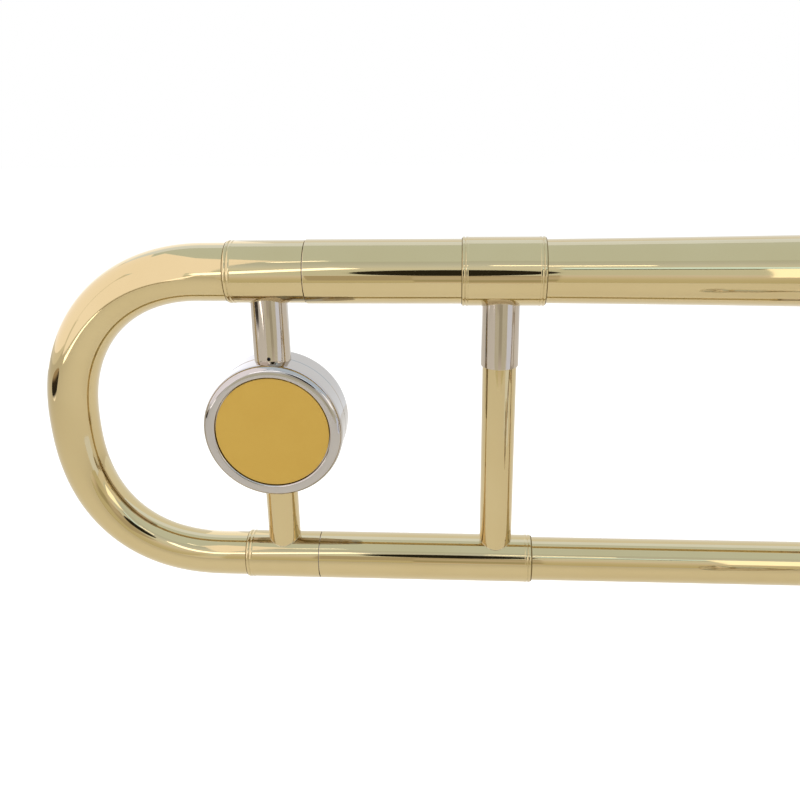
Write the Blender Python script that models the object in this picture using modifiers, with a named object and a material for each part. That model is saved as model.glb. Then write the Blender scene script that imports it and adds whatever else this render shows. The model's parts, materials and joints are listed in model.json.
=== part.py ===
# Tenor trombone: straight B-flat, medium bore, 8 inch bell.
# Metres, +Z up, +X forward to the bell mouth and the slide crook.
# The origin is on the axis of the neckpipe and of the hand slide's bell leg, at the lock nut.
# The bell stands above that axis (+Z), and the mouthpiece leg lies beside it (-Y).

import math

import bmesh
import bpy
from mathutils import Matrix, Vector

MM = 0.001

# Clearances
FIT = 0.3 * MM  # between pieces that fit together
RUN = 0.3 * MM  # between pieces that slide or turn on each other

# Sides of round pieces
SLIM_SIDES = 16
TUBE_SIDES = 24
BELL_SIDES = 32

CUTTER_LENGTH = 100 * MM  # longer than any foot that it hollows

# Main layout
LEG_SPACING = 114 * MM  # bell axis above the neckpipe axis
SLIDE_SPACING = 85 * MM  # mouthpiece leg beside the bell leg
NECKPIPE_LENGTH = 180 * MM  # rear brace to the lock nut

# Bell
BELL_LENGTH = 425 * MM  # rear brace to the rim
BELL_RIM_R = 101.5 * MM
BELL_THROAT_R = 10.42 * MM
BELL_TAPER = 0.0062
FLARE_LENGTH = 200 * MM
FLARE_POWER = 4.6
BELL_WALL = 0.5 * MM
RIM_WIRE_R = 1.25 * MM
BELL_STATIONS = 11
BELL_STATION_POWER = 2.6  # above 1, the stations crowd towards the rim

# Tuning slide
UPPER_TUNING_R = 10.37 * MM
UPPER_FERRULE_WALL = 0.3 * MM
UPPER_OUTER_WALL = 0.58 * MM
LOWER_TUNING_R = 8.5 * MM
LOWER_FERRULE_WALL = 0.3 * MM
TUNING_WALL = 0.5 * MM
SEAM_BACK = 68.4 * MM  # rear brace back to the seam between ferrule and outer tube
UPPER_FERRULE_LENGTH = 27.4 * MM
LOWER_FERRULE_LENGTH = 28.4 * MM
FERRULE_BEAD_LENGTH = 2.4 * MM
FERRULE_BEAD = 0.1 * MM
BOW_STRAIGHT = 8.5 * MM  # from the ferrule to where the bow starts to bend
BOW_REACH = 55.2 * MM
UPPER_BOW_SHAPE = 2.17  # 2 is an ellipse, more is squarer
LOWER_BOW_SHAPE = 2.36
BOW_MIDDLE_R = 9.0 * MM
BOW_WALL = 0.6 * MM
BOW_STEPS = 18
TUNING_TUBE_SPARE = 6 * MM  # short of what lies ahead of it in the outer tube

# Bell ferrule and rear brace
BELL_FERRULE_BACK = 13.6 * MM
BELL_FERRULE_AHEAD = 14.7 * MM
BELL_FERRULE_WALL = 0.35 * MM
BELL_FERRULE_BEAD_LENGTH = 2 * MM
BELL_FERRULE_BEAD = 0.1 * MM
LOWER_OUTER_AHEAD = 13.5 * MM
LOWER_OUTER_BEAD_LENGTH = 2.3 * MM
LOWER_OUTER_BEAD = 0.1 * MM
SLEEVE_WALL = 0.3 * MM
SLEEVE_LENGTH = 22.2 * MM
BRACE_TUBE_R = 6.1 * MM
BRACE_TUBE_WALL = 0.8 * MM
BRACE_INSET = 12 * MM  # how far the tube runs up inside the sleeve

# Counterweight
WEIGHT_R = 25.8 * MM
WEIGHT_THICKNESS = 21.0 * MM
WEIGHT_BACK = 0.45 * MM  # of the middle of the shorter ferrule
WEIGHT_HEIGHT = 56.35 * MM  # its centre above the neckpipe axis
WEIGHT_ROUND = 2.6 * MM
WEIGHT_WALL = 1.6 * MM
WEIGHT_FACE_WALL = 1.0 * MM
INLAY_R = 21.0 * MM
INLAY_THICKNESS = 0.8 * MM
INLAY_RECESS = 0.6 * MM
UPPER_POST_R = 6.7 * MM
LOWER_POST_R = 6.15 * MM
SET_SCREW_R = 0.5 * MM
SET_SCREW_LENGTH = 2.5 * MM
SET_SCREW_UP = 1.45 * MM  # above the post's foot

# Neckpipe, receiver and front brace
NECKPIPE_R = 8.35 * MM
NECKPIPE_WALL = 0.5 * MM
NECKPIPE_OVERLAP = 9 * MM  # inside the lower outer tube
RECEIVER_BACK = 56 * MM  # from the lock nut plane back to its rear end
RECEIVER_WALL = 1.6 * MM
RECEIVER_BEAD = 0.8 * MM
RECEIVER_BEAD_LENGTH = 3 * MM
RECEIVER_SHORT = 8 * MM  # its front end behind the lock nut plane
NECKPIPE_SEAT = 12 * MM  # how far the neckpipe goes into the receiver
THREAD_LENGTH = 12 * MM
THREAD_STEP = 0.5 * MM
FRONT_BRACE_BACK = 33 * MM
SOCKET_BORE_DEPTH = 5 * MM

# Brace tubes and their sockets on the slide
GRIP_TUBE_R = 4.5 * MM
GRIP_TUBE_WALL = 0.8 * MM
SOCKET_WALL = 1.2 * MM
SOCKET_FLARE = 1.8 * MM
SOCKET_LENGTH = 9 * MM
SOCKET_FOOT = 2 * MM

# Hand slide
SLIDE_TUBE_R = 7 * MM  # inner tubes, 13.3 mm bore
SLIDE_TUBE_WALL = 0.33 * MM
STOCKING_STEP = 0.15 * MM
STOCKING_LENGTH = 105 * MM
STOCKING_RAMP = 2 * MM
OUTER_WALL = 0.3 * MM
CASING_WALL = 1 * MM
TENON_BACK = 40 * MM
TENON_AHEAD = 20 * MM
SHOULDER_LENGTH = 4.7 * MM
SHOULDER_STEP = 1.4 * MM
NUT_FLANGE = 5.7 * MM
NUT_WALL = 2.4 * MM
NUT_COVER = 9 * MM  # of the receiver's thread
BARREL_START = 66 * MM  # ahead of the lock nut plane
BARREL_LENGTH = 43.5 * MM
BARREL_FLOOR = 4 * MM
BARREL_WALL = 1.2 * MM
BARREL_ROOM = 0.6 * MM
FELT_LENGTH = 14 * MM
FELT_WALL = 1.2 * MM
INNER_BRACE_AHEAD = 42 * MM
OUTER_BRACE_AHEAD = 172 * MM
CROOK_JOINT = 723 * MM  # outer tubes end and the crook starts
INNER_SHORT = 5 * MM  # inner tubes stop this far behind that
TOP_FERRULE_WALL = 0.35 * MM
TOP_FERRULE_LENGTH = 32 * MM
CROOK_FERRULE_LENGTH = 20 * MM
CROOK_FERRULE_WALL = 0.6 * MM
CROOK_FERRULE_BEAD = 0.4 * MM
CROOK_STRAIGHT = 30 * MM
CROOK_WALL = 0.6 * MM
CROOK_STEPS = 10

# Mouthpiece and its receiver
MOUTH_RECEIVER_BACK = 24 * MM
MOUTH_RECEIVER_WALL = 1.7 * MM
MOUTH_RECEIVER_BEAD = 1 * MM
MOUTH_RECEIVER_AHEAD = 10 * MM
SHANK_IN = 27 * MM
SHANK_R = 5.5 * MM
MOUTHPIECE_LENGTH = 83 * MM
MOUTHPIECE_RIM_R = 19.5 * MM
CUP_R = 12.7 * MM
CUP_DEPTH = 22 * MM
THROAT_R = 3.2 * MM
THROAT_LENGTH = 5 * MM
SHANK_TIP_WALL = 1 * MM
LEADPIPE_GAP = 2 * MM  # between the shank's tip and the leadpipe
LEADPIPE_WALL = 0.5 * MM
LEADPIPE_LENGTH = 150 * MM

# Slide lock
LOCK_RING_WALL = 1.5 * MM
LOCK_RING_GRIP = 8 * MM  # over the barrel
LOCK_RING_LENGTH = 17 * MM
LOCK_FLANGE = 3 * MM
LUG_WIDTH = 3 * MM
LUG_LENGTH = 2.4 * MM
LUG_HEIGHT = 1.4 * MM

# Bumper
HOLDER_R = 6.6 * MM
HOLDER_WALL = 1.2 * MM
HOLDER_LENGTH = 9 * MM
BUMPER_HEAD = 7.5 * MM
BUMPER_TIP_R = 4 * MM

# Water key
NIPPLE_AHEAD = 26 * MM  # of where the crook starts
NIPPLE_R = 3.2 * MM
NIPPLE_BORE_R = 1.6 * MM
NIPPLE_HEIGHT = 3.6 * MM
KEY_CORK_R = 3.4 * MM
KEY_CORK_THICKNESS = 2.4 * MM
KEY_CUP_WALL = 0.9 * MM
KEY_CUP_DEPTH = 1.6 * MM
PIVOT_BEHIND = 12 * MM  # of the nipple
PIVOT_HEIGHT = 6 * MM  # above the crook's side
PIVOT_SCREW_R = 1.1 * MM
PIVOT_HEAD_R = 2 * MM
PIVOT_HEAD = 1.2 * MM
HUB_WALL = 1.1 * MM
HUB_WIDTH = 3.4 * MM
EAR_GAP = 10.4 * MM
EAR_THICKNESS = 1.3 * MM
EAR_LENGTH = 6 * MM
KEY_REACH = 32 * MM  # pivot back to the middle of the touch
TOUCH_RISE = 5.5 * MM
TOUCH_LENGTH = 15 * MM
TOUCH_WIDTH = 8.5 * MM
TOUCH_THICKNESS = 2.2 * MM
ARM_WIDTH = 2.8 * MM
ARM_THICKNESS = 2 * MM
SPRING_WIRE_R = 0.35 * MM
SPRING_TURNS = 2.5
SPRING_PITCH = 1.25 * MM
SPRING_LEG = 6 * MM
SPRING_POINTS = 9  # in a turn

# Sizes that follow from those
UPPER_FERRULE_BORE = UPPER_TUNING_R + FIT
UPPER_FERRULE_R = UPPER_FERRULE_BORE + UPPER_FERRULE_WALL
UPPER_OUTER_BORE = UPPER_TUNING_R + RUN
UPPER_OUTER_R = UPPER_OUTER_BORE + UPPER_OUTER_WALL
LOWER_OUTER_BORE = max(LOWER_TUNING_R + RUN, NECKPIPE_R + FIT)
LOWER_FERRULE_BORE = LOWER_TUNING_R + FIT
LOWER_FERRULE_R = LOWER_FERRULE_BORE + LOWER_FERRULE_WALL
LOWER_OUTER_R = LOWER_OUTER_BORE + LOWER_FERRULE_WALL
SLEEVE_BORE = BRACE_TUBE_R + FIT
SLEEVE_R = SLEEVE_BORE + SLEEVE_WALL
CASING_BORE = SLIDE_TUBE_R + FIT
CASING_R = CASING_BORE + CASING_WALL
STOCKING_R = SLIDE_TUBE_R + STOCKING_STEP
OUTER_BORE = STOCKING_R + RUN
OUTER_R = OUTER_BORE + OUTER_WALL
TOP_FERRULE_BORE = OUTER_R + FIT
TOP_FERRULE_R = TOP_FERRULE_BORE + TOP_FERRULE_WALL
BARREL_BORE = TOP_FERRULE_R + BARREL_ROOM
BARREL_R = BARREL_BORE + BARREL_WALL
CROOK_FERRULE_R = OUTER_R + FIT + CROOK_FERRULE_WALL
RECEIVER_BORE = max(NECKPIPE_R, CASING_R) + FIT
RECEIVER_R = RECEIVER_BORE + RECEIVER_WALL

REAR_BRACE_X = -NECKPIPE_LENGTH
SEAM_X = REAR_BRACE_X - SEAM_BACK
UPPER_FERRULE_BACK_X = SEAM_X - UPPER_FERRULE_LENGTH
LOWER_FERRULE_BACK_X = SEAM_X - LOWER_FERRULE_LENGTH
FERRULE_MIDDLE_X = SEAM_X - min(UPPER_FERRULE_LENGTH, LOWER_FERRULE_LENGTH) / 2
WEIGHT_X = FERRULE_MIDDLE_X - WEIGHT_BACK
BOW_START_X = min(UPPER_FERRULE_BACK_X, LOWER_FERRULE_BACK_X) - BOW_STRAIGHT
BELL_RIM_X = REAR_BRACE_X + BELL_LENGTH
BELL_FERRULE_X = REAR_BRACE_X - BELL_FERRULE_BACK
BELL_FERRULE_END_X = REAR_BRACE_X + BELL_FERRULE_AHEAD
BELL_TAIL_X = (BELL_FERRULE_X + BELL_FERRULE_END_X) / 2
LOWER_OUTER_END_X = REAR_BRACE_X + LOWER_OUTER_AHEAD
RECEIVER_X = -RECEIVER_BACK
RECEIVER_END_X = -RECEIVER_SHORT
FRONT_BRACE_X = -FRONT_BRACE_BACK
SHOULDER_X = RECEIVER_END_X + FIT
BARREL_END_X = BARREL_START + BARREL_LENGTH
OUTER_TOP_X = BARREL_START + BARREL_FLOOR + FELT_LENGTH + 2 * FIT
CROOK_CENTRE_X = CROOK_JOINT + CROOK_STRAIGHT
CROOK_BEND_R = SLIDE_SPACING / 2
CROOK_APEX_X = CROOK_CENTRE_X + CROOK_BEND_R
NIPPLE_X = CROOK_JOINT + NIPPLE_AHEAD
PIVOT_X = NIPPLE_X - PIVOT_BEHIND
PIVOT_Y = OUTER_R + PIVOT_HEIGHT

ALONG_X = Matrix.Rotation(math.radians(90), 4, "Y")
ALONG_Y = Matrix.Rotation(math.radians(-90), 4, "X")
AGAINST_Y = Matrix.Rotation(math.radians(90), 4, "X")
ALONG_Z = Matrix.Identity(4)
AGAINST_Z = Matrix.Rotation(math.radians(180), 4, "X")

BELL_AXIS = Vector((0, 0, LEG_SPACING))
NECK_AXIS = Vector((0, 0, 0))
MOUTH_AXIS = Vector((0, -SLIDE_SPACING, 0))


# Scene and materials


def clear_scene():
    for obj in list(bpy.data.objects):
        bpy.data.objects.remove(obj, do_unlink=True)


def collection_named(name, hidden=False):
    collection = bpy.data.collections.new(name)
    bpy.context.scene.collection.children.link(collection)
    collection.hide_render = hidden
    return collection


def finish_named(name, colour, metallic, roughness):
    material = bpy.data.materials.new(name)
    material.use_nodes = True
    shader = material.node_tree.nodes["Principled BSDF"]
    shader.inputs["Base Color"].default_value = (*colour, 1)
    shader.inputs["Metallic"].default_value = metallic
    shader.inputs["Roughness"].default_value = roughness
    material.diffuse_color = (*colour, 1)
    return material


clear_scene()
TROMBONE = collection_named("tenor_trombone")
CUTTERS = collection_named("cutters", hidden=True)

BRASS = finish_named("lacquered_brass", (0.62, 0.49, 0.24), 1, 0.12)
NICKEL_SILVER = finish_named("nickel_silver", (0.58, 0.53, 0.46), 1, 0.18)
CHROME = finish_named("chrome", (0.55, 0.56, 0.58), 1, 0.08)
SILVER = finish_named("silver_plate", (0.72, 0.7, 0.66), 1, 0.12)
STEEL = finish_named("blued_steel", (0.18, 0.18, 0.2), 1, 0.35)
SLUG = finish_named("cast_slug", (0.3, 0.3, 0.31), 1, 0.6)
INLAY = finish_named("gold_inlay", (0.57, 0.36, 0.05), 0.3, 0.45)
FELT = finish_named("felt", (0.25, 0.05, 0.06), 0, 0.95)
CORK = finish_named("cork", (0.5, 0.33, 0.17), 0, 0.9)
RUBBER = finish_named("rubber", (0.02, 0.02, 0.02), 0, 0.7)


# Making solids


def pivot_at(name, place):
    empty = bpy.data.objects.new(name, None)
    empty.location = place
    empty.empty_display_size = 0.02
    TROMBONE.objects.link(empty)
    return empty


def add_object(name, mesh, matrix, finish, body):
    obj = bpy.data.objects.new(name, mesh)
    if finish is None:
        CUTTERS.objects.link(obj)
        obj.hide_render = True
        obj.display_type = "WIRE"
    else:
        TROMBONE.objects.link(obj)
        mesh.materials.append(finish)
    obj.matrix_world = matrix
    if body is not None:
        obj.parent = body
        obj.matrix_parent_inverse = Matrix.Translation(body.location).inverted()
    return obj


def turned(name, outside, bore, place, turn, finish, body=None, sides=TUBE_SIDES):
    # A piece turned about its axis. outside and bore list (along the axis, radius), from low to high.
    # With no bore it is solid.
    section = list(reversed(outside))
    if bore:
        section += bore
    else:
        section = [(outside[-1][0], 0)] + section + [(outside[0][0], 0)]
    mesh = bpy.data.meshes.new(name)
    points = [(radius, 0, along) for along, radius in section]
    edges = [(i, i + 1) for i in range(len(points) - 1)]
    if bore:
        edges.append((len(points) - 1, 0))
    mesh.from_pydata(points, edges, [])
    obj = add_object(name, mesh, Matrix.Translation(place) @ turn, finish, body)
    screw = obj.modifiers.new("turn", "SCREW")
    screw.axis = "Z"
    screw.angle = math.tau
    screw.steps = sides
    screw.render_steps = sides
    screw.use_merge_vertices = True
    screw.merge_threshold = 0.000001
    screw.use_smooth_shade = True
    return obj


def straight_tube(name, start, end, outer, bore, axis, finish, body, sides=TUBE_SIDES):
    # A plain tube along X, from start to end.
    return turned(
        name,
        [(start, outer), (end, outer)],
        [(start, bore), (end, bore)],
        axis,
        ALONG_X,
        finish,
        body,
        sides,
    )


def beaded_tube(name, start, end, outer, bore, beads, axis, finish, body, sides=TUBE_SIDES):
    # A tube along X with raised bands. beads lists (start, end, height), from low to high.
    outside = []
    for low, high, height in beads:
        if low > start:
            outside.append((low, outer))
        outside += [(low, outer + height), (high, outer + height)]
        if high < end:
            outside.append((high, outer))
    if not beads or beads[0][0] > start:
        outside.insert(0, (start, outer))
    if not beads or beads[-1][1] < end:
        outside.append((end, outer))
    inside = [(start, bore), (end, bore)]
    return turned(name, outside, inside, axis, ALONG_X, finish, body, sides)


def pipe(name, route, wall, finish, body, sides):
    # A bent tube. route lists (point, radius), and the ends are square to the first and last stretch.
    curve = bpy.data.curves.new(name, "CURVE")
    curve.dimensions = "3D"
    spline = curve.splines.new("POLY")
    spline.points.add(len(route) - 1)
    for point, (place, radius) in zip(spline.points, route):
        point.co = (*place, 1)
        point.radius = radius
    curve.bevel_depth = 1
    curve.bevel_resolution = (sides - 4) // 2
    curve.use_fill_caps = wall is None
    guide = bpy.data.objects.new(name + "_route", curve)
    CUTTERS.objects.link(guide)
    bpy.context.view_layer.update()
    evaluated = guide.evaluated_get(bpy.context.evaluated_depsgraph_get())
    mesh = bpy.data.meshes.new_from_object(evaluated)
    mesh.name = name
    bpy.data.objects.remove(guide)
    work = bmesh.new()
    work.from_mesh(mesh)
    bmesh.ops.remove_doubles(work, verts=work.verts, dist=0.000001)
    bmesh.ops.recalc_face_normals(work, faces=work.faces)
    work.to_mesh(mesh)
    work.free()
    mesh.materials.clear()
    obj = add_object(name, mesh, Matrix.Identity(4), finish, body)
    if wall is not None:
        shell = obj.modifiers.new("wall", "SOLIDIFY")
        shell.thickness = wall
        shell.offset = -1
        shell.use_rim = True
    mesh.shade_smooth()
    return obj


def cylinder_cutter(name, radius, length, place, turn, sides=48):
    return turned(
        name,
        [(-length / 2, radius), (length / 2, radius)],
        None,
        place,
        turn,
        None,
        None,
        sides,
    )


def box_mesh(name, low, high):
    mesh = bpy.data.meshes.new(name)
    work = bmesh.new()
    bmesh.ops.create_cube(work, size=1)
    size = [b - a for a, b in zip(low, high)]
    middle = [(a + b) / 2 for a, b in zip(low, high)]
    bmesh.ops.scale(work, vec=size, verts=work.verts)
    bmesh.ops.translate(work, vec=middle, verts=work.verts)
    work.to_mesh(mesh)
    work.free()
    return mesh


def box(name, low, high, finish=None, body=None):
    return add_object(name, box_mesh(name, low, high), Matrix.Identity(4), finish, body)


def join_or_cut(obj, other, operation):
    modifier = obj.modifiers.new(other.name, "BOOLEAN")
    modifier.operation = operation
    modifier.object = other
    modifier.solver = "EXACT"
    return obj


def cut(obj, *others):
    for other in others:
        join_or_cut(obj, other, "DIFFERENCE")
    return obj


def join(obj, *others):
    for other in others:
        join_or_cut(obj, other, "UNION")
    return obj


def saddle(name, radius, place, turn=ALONG_X):
    # The hollow that seats a foot on a round tube of that radius.
    return cylinder_cutter(name + "_saddle", radius + FIT, CUTTER_LENGTH, place, turn)


def brace_socket(name, host_axis, host_radius, place, turn, finish, body):
    # A flared socket that stands on a tube along X and holds the end of a brace tube.
    # place is on the host's axis, and turn points local Z away from it.
    bore = GRIP_TUBE_R + FIT
    outer = bore + SOCKET_WALL
    foot = host_radius * 0.5
    seat = host_radius + FIT + SOCKET_FOOT
    top = host_radius + SOCKET_LENGTH
    outside = [
        (foot, outer + SOCKET_FLARE),
        (seat, outer + SOCKET_FLARE),
        (seat + SOCKET_FLARE, outer),
        (top, outer),
    ]
    socket = turned(name, outside, None, place, turn, finish, body, SLIM_SIDES)
    hole = turned(
        name + "_hole",
        [(top - SOCKET_BORE_DEPTH, bore), (top + SOCKET_BORE_DEPTH, bore)],
        None,
        place,
        turn,
        None,
        None,
        SLIM_SIDES,
    )
    return cut(socket, saddle(name, host_radius, host_axis + Vector((place.x, 0, 0))), hole)


def brace_span(low_radius, high_radius, spacing):
    # Where a brace tube starts and ends between two sockets, from the first tube's axis.
    inset = SOCKET_LENGTH - SOCKET_BORE_DEPTH + FIT
    return low_radius + inset, spacing - high_radius - inset


# Bodies that move, each with its parent on the joint's axis

BELL_SECTION = pivot_at("bell_swivel_axis", (0, 0, 0))
TUNING_SLIDE = pivot_at("tuning_slide_axis", (SEAM_X, 0, LEG_SPACING / 2))
INNER_SLIDE = pivot_at("left_hand_grip", (0, 0, 0))
LOCK_NUT = pivot_at("lock_nut_axis", (0, 0, 0))
LOCK_RING = pivot_at("lock_ring_axis", (BARREL_END_X, -SLIDE_SPACING, 0))
MOUTHPIECE = pivot_at("mouthpiece_axis", (-MOUTH_RECEIVER_BACK, -SLIDE_SPACING, 0))
OUTER_SLIDE = pivot_at("hand_slide_axis", (OUTER_TOP_X, -SLIDE_SPACING / 2, 0))
WATER_KEY = pivot_at("water_key_axis", (PIVOT_X, PIVOT_Y, 0))


# Bell


def flare_gain():
    # How much the flare adds at the sheet's edge, which ends just inside the rolled wire.
    edge = BELL_RIM_R - 2 * RIM_WIRE_R - FIT
    return edge - BELL_THROAT_R - BELL_TAPER * (BELL_LENGTH - RIM_WIRE_R)


def bell_radius(back):
    # Outer radius at a distance back from the rim.
    stem = BELL_THROAT_R + BELL_TAPER * (BELL_LENGTH - back)
    flare = (FLARE_LENGTH / (FLARE_LENGTH + back - RIM_WIRE_R)) ** FLARE_POWER
    return stem + flare_gain() * flare


def bell_slope(back):
    step = 0.1 * MM
    return (bell_radius(back) - bell_radius(back + step)) / step


def make_bell():
    length = BELL_RIM_X - BELL_TAIL_X - FIT
    outside = []
    inside = []
    for i in range(BELL_STATIONS, -1, -1):
        back = RIM_WIRE_R + (length - RIM_WIRE_R) * (i / BELL_STATIONS) ** BELL_STATION_POWER
        radius = bell_radius(back)
        slope = math.atan(bell_slope(back))
        along = BELL_RIM_X - back
        outside.append((along, radius))
        inside.append((along + BELL_WALL * math.sin(slope), radius - BELL_WALL * math.cos(slope)))
    turned("bell", outside, inside, BELL_AXIS, ALONG_X, BRASS, BELL_SECTION, BELL_SIDES)

    middle_x = BELL_RIM_X - RIM_WIRE_R
    middle_r = BELL_RIM_R - RIM_WIRE_R
    half = [math.pi * step / 4 for step in range(5)]
    top = [(middle_x - RIM_WIRE_R * math.cos(a), middle_r + RIM_WIRE_R * math.sin(a)) for a in half]
    under = [(middle_x - RIM_WIRE_R * math.cos(a), middle_r - RIM_WIRE_R * math.sin(a)) for a in half]
    turned("bell_rim_wire", top, under[1:-1], BELL_AXIS, ALONG_X, BRASS, BELL_SECTION, BELL_SIDES)

    ferrule_bore = max(UPPER_OUTER_R, bell_radius(BELL_RIM_X - BELL_FERRULE_END_X)) + FIT
    beads = [
        (BELL_FERRULE_X, BELL_FERRULE_X + BELL_FERRULE_BEAD_LENGTH, BELL_FERRULE_BEAD),
        (BELL_FERRULE_END_X - BELL_FERRULE_BEAD_LENGTH, BELL_FERRULE_END_X, BELL_FERRULE_BEAD),
    ]
    beaded_tube(
        "bell_ferrule",
        BELL_FERRULE_X,
        BELL_FERRULE_END_X,
        ferrule_bore + BELL_FERRULE_WALL,
        ferrule_bore,
        beads,
        BELL_AXIS,
        BRASS,
        BELL_SECTION,
    )
    return ferrule_bore + BELL_FERRULE_WALL


def make_outer_tubes():
    straight_tube(
        "upper_outer_tube",
        SEAM_X + FIT,
        BELL_TAIL_X - FIT,
        UPPER_OUTER_R,
        UPPER_OUTER_BORE,
        BELL_AXIS,
        BRASS,
        BELL_SECTION,
    )
    bead = (LOWER_OUTER_END_X - LOWER_OUTER_BEAD_LENGTH, LOWER_OUTER_END_X, LOWER_OUTER_BEAD)
    beaded_tube(
        "lower_outer_tube",
        SEAM_X + FIT,
        LOWER_OUTER_END_X,
        LOWER_OUTER_R,
        LOWER_OUTER_BORE,
        [bead],
        NECK_AXIS,
        BRASS,
        BELL_SECTION,
    )


def make_neckpipe():
    straight_tube(
        "neckpipe",
        LOWER_OUTER_END_X - NECKPIPE_OVERLAP,
        RECEIVER_X + NECKPIPE_SEAT,
        NECKPIPE_R,
        NECKPIPE_R - NECKPIPE_WALL,
        NECK_AXIS,
        BRASS,
        BELL_SECTION,
    )
    beads = [
        (RECEIVER_X, RECEIVER_X + RECEIVER_BEAD_LENGTH, RECEIVER_BEAD),
        (RECEIVER_END_X - THREAD_LENGTH, RECEIVER_END_X, THREAD_STEP),
    ]
    beaded_tube(
        "slide_receiver",
        RECEIVER_X,
        RECEIVER_END_X,
        RECEIVER_R,
        RECEIVER_BORE,
        beads,
        NECK_AXIS,
        NICKEL_SILVER,
        BELL_SECTION,
    )


def make_rear_brace(ferrule_r):
    top = LEG_SPACING - ferrule_r
    sleeve_end = top - SLEEVE_LENGTH
    place = Vector((REAR_BRACE_X, 0, 0))
    sleeve = turned(
        "rear_brace_sleeve",
        [(sleeve_end, SLEEVE_R), (top + ferrule_r / 2, SLEEVE_R)],
        [(sleeve_end, SLEEVE_BORE), (top + ferrule_r / 2, SLEEVE_BORE)],
        place,
        ALONG_Z,
        NICKEL_SILVER,
        BELL_SECTION,
    )
    cut(sleeve, saddle("rear_brace_sleeve", ferrule_r, BELL_AXIS + place))
    tube = turned(
        "rear_brace_tube",
        [(LOWER_OUTER_R / 2, BRACE_TUBE_R), (sleeve_end + BRACE_INSET, BRACE_TUBE_R)],
        [
            (LOWER_OUTER_R / 2, BRACE_TUBE_R - BRACE_TUBE_WALL),
            (sleeve_end + BRACE_INSET, BRACE_TUBE_R - BRACE_TUBE_WALL),
        ],
        place,
        ALONG_Z,
        BRASS,
        BELL_SECTION,
    )
    cut(tube, saddle("rear_brace_tube", LOWER_OUTER_R, NECK_AXIS + place))


def make_front_brace():
    bell_r = bell_radius(BELL_RIM_X - FRONT_BRACE_X - GRIP_TUBE_R - SOCKET_WALL - SOCKET_FLARE)
    brace_socket(
        "front_brace_bell_flange",
        BELL_AXIS,
        bell_r,
        Vector((FRONT_BRACE_X, 0, LEG_SPACING)),
        AGAINST_Z,
        NICKEL_SILVER,
        BELL_SECTION,
    )
    brace_socket(
        "front_brace_receiver_flange",
        NECK_AXIS,
        RECEIVER_R,
        Vector((FRONT_BRACE_X, 0, 0)),
        ALONG_Z,
        NICKEL_SILVER,
        BELL_SECTION,
    )
    low, high = brace_span(RECEIVER_R, bell_r, LEG_SPACING)
    turned(
        "front_brace_tube",
        [(low, GRIP_TUBE_R), (high, GRIP_TUBE_R)],
        [(low, GRIP_TUBE_R - GRIP_TUBE_WALL), (high, GRIP_TUBE_R - GRIP_TUBE_WALL)],
        Vector((FRONT_BRACE_X, 0, 0)),
        ALONG_Z,
        NICKEL_SILVER,
        BELL_SECTION,
        SLIM_SIDES,
    )


# Tuning slide


def bow_radius(share):
    # Outer radius of the bow, from its upper end at 0 through its middle to its lower end at 1.
    upper = UPPER_TUNING_R * (1 - share) * (1 - 2 * share)
    middle = BOW_MIDDLE_R * 4 * share * (1 - share)
    lower = LOWER_TUNING_R * share * (2 * share - 1)
    return upper + middle + lower


def make_bow():
    half = LEG_SPACING / 2
    route = [(Vector((FERRULE_MIDDLE_X - FIT, 0, LEG_SPACING)), UPPER_TUNING_R)]
    for step in range(BOW_STEPS + 1):
        angle = math.pi * step / BOW_STEPS
        shape = UPPER_BOW_SHAPE if 2 * step < BOW_STEPS else LOWER_BOW_SHAPE
        back = abs(math.sin(angle)) ** (2 / shape)
        rise = math.copysign(abs(math.cos(angle)) ** (2 / shape), math.cos(angle))
        if step == BOW_STEPS:
            back = 0
        place = Vector((BOW_START_X - BOW_REACH * back, 0, half + half * rise))
        route.append((place, bow_radius(step / BOW_STEPS)))
    route.append((Vector((FERRULE_MIDDLE_X - FIT, 0, 0)), LOWER_TUNING_R))
    pipe("tuning_bow", route, BOW_WALL, BRASS, TUNING_SLIDE, 16)


def make_tuning_legs():
    legs = [
        ("upper", UPPER_FERRULE_BACK_X, UPPER_FERRULE_R, UPPER_TUNING_R, BELL_AXIS, BELL_TAIL_X),
        (
            "lower",
            LOWER_FERRULE_BACK_X,
            LOWER_FERRULE_R,
            LOWER_TUNING_R,
            NECK_AXIS,
            LOWER_OUTER_END_X - NECKPIPE_OVERLAP,
        ),
    ]
    for leg, back_x, outer, tube_r, axis, stop_x in legs:
        beaded_tube(
            leg + "_tuning_ferrule",
            back_x,
            SEAM_X,
            outer,
            tube_r + FIT,
            [(back_x, back_x + FERRULE_BEAD_LENGTH, FERRULE_BEAD)],
            axis,
            BRASS,
            TUNING_SLIDE,
        )
        straight_tube(
            leg + "_tuning_tube",
            FERRULE_MIDDLE_X + FIT,
            stop_x - TUNING_TUBE_SPARE,
            tube_r,
            tube_r - TUNING_WALL,
            axis,
            NICKEL_SILVER,
            TUNING_SLIDE,
        )


def weight_shell(name, turn):
    # Half of the weight's case, from its middle outwards along local Z, with the inlay's recess.
    half = WEIGHT_THICKNESS / 2
    recess = half - INLAY_RECESS - INLAY_THICKNESS - FIT
    inner_r = WEIGHT_R - WEIGHT_WALL
    lip = INLAY_R + FIT
    edge = min(WEIGHT_ROUND, (WEIGHT_R - lip) * 0.6)
    outside = [
        (recess - WEIGHT_FACE_WALL, 0),
        (recess - WEIGHT_FACE_WALL, inner_r),
        (FIT / 2, inner_r),
        (FIT / 2, WEIGHT_R),
    ]
    for step in range(4):
        angle = math.radians(30 * step)
        along = half - edge + edge * math.sin(angle)
        outside.append((along, WEIGHT_R - edge + edge * math.cos(angle)))
    outside += [(half, lip + edge / 4), (half - edge / 4, lip), (recess, lip)]
    return turned(name, outside, None, weight_centre(), turn, CHROME, TUNING_SLIDE, BELL_SIDES)


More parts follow.
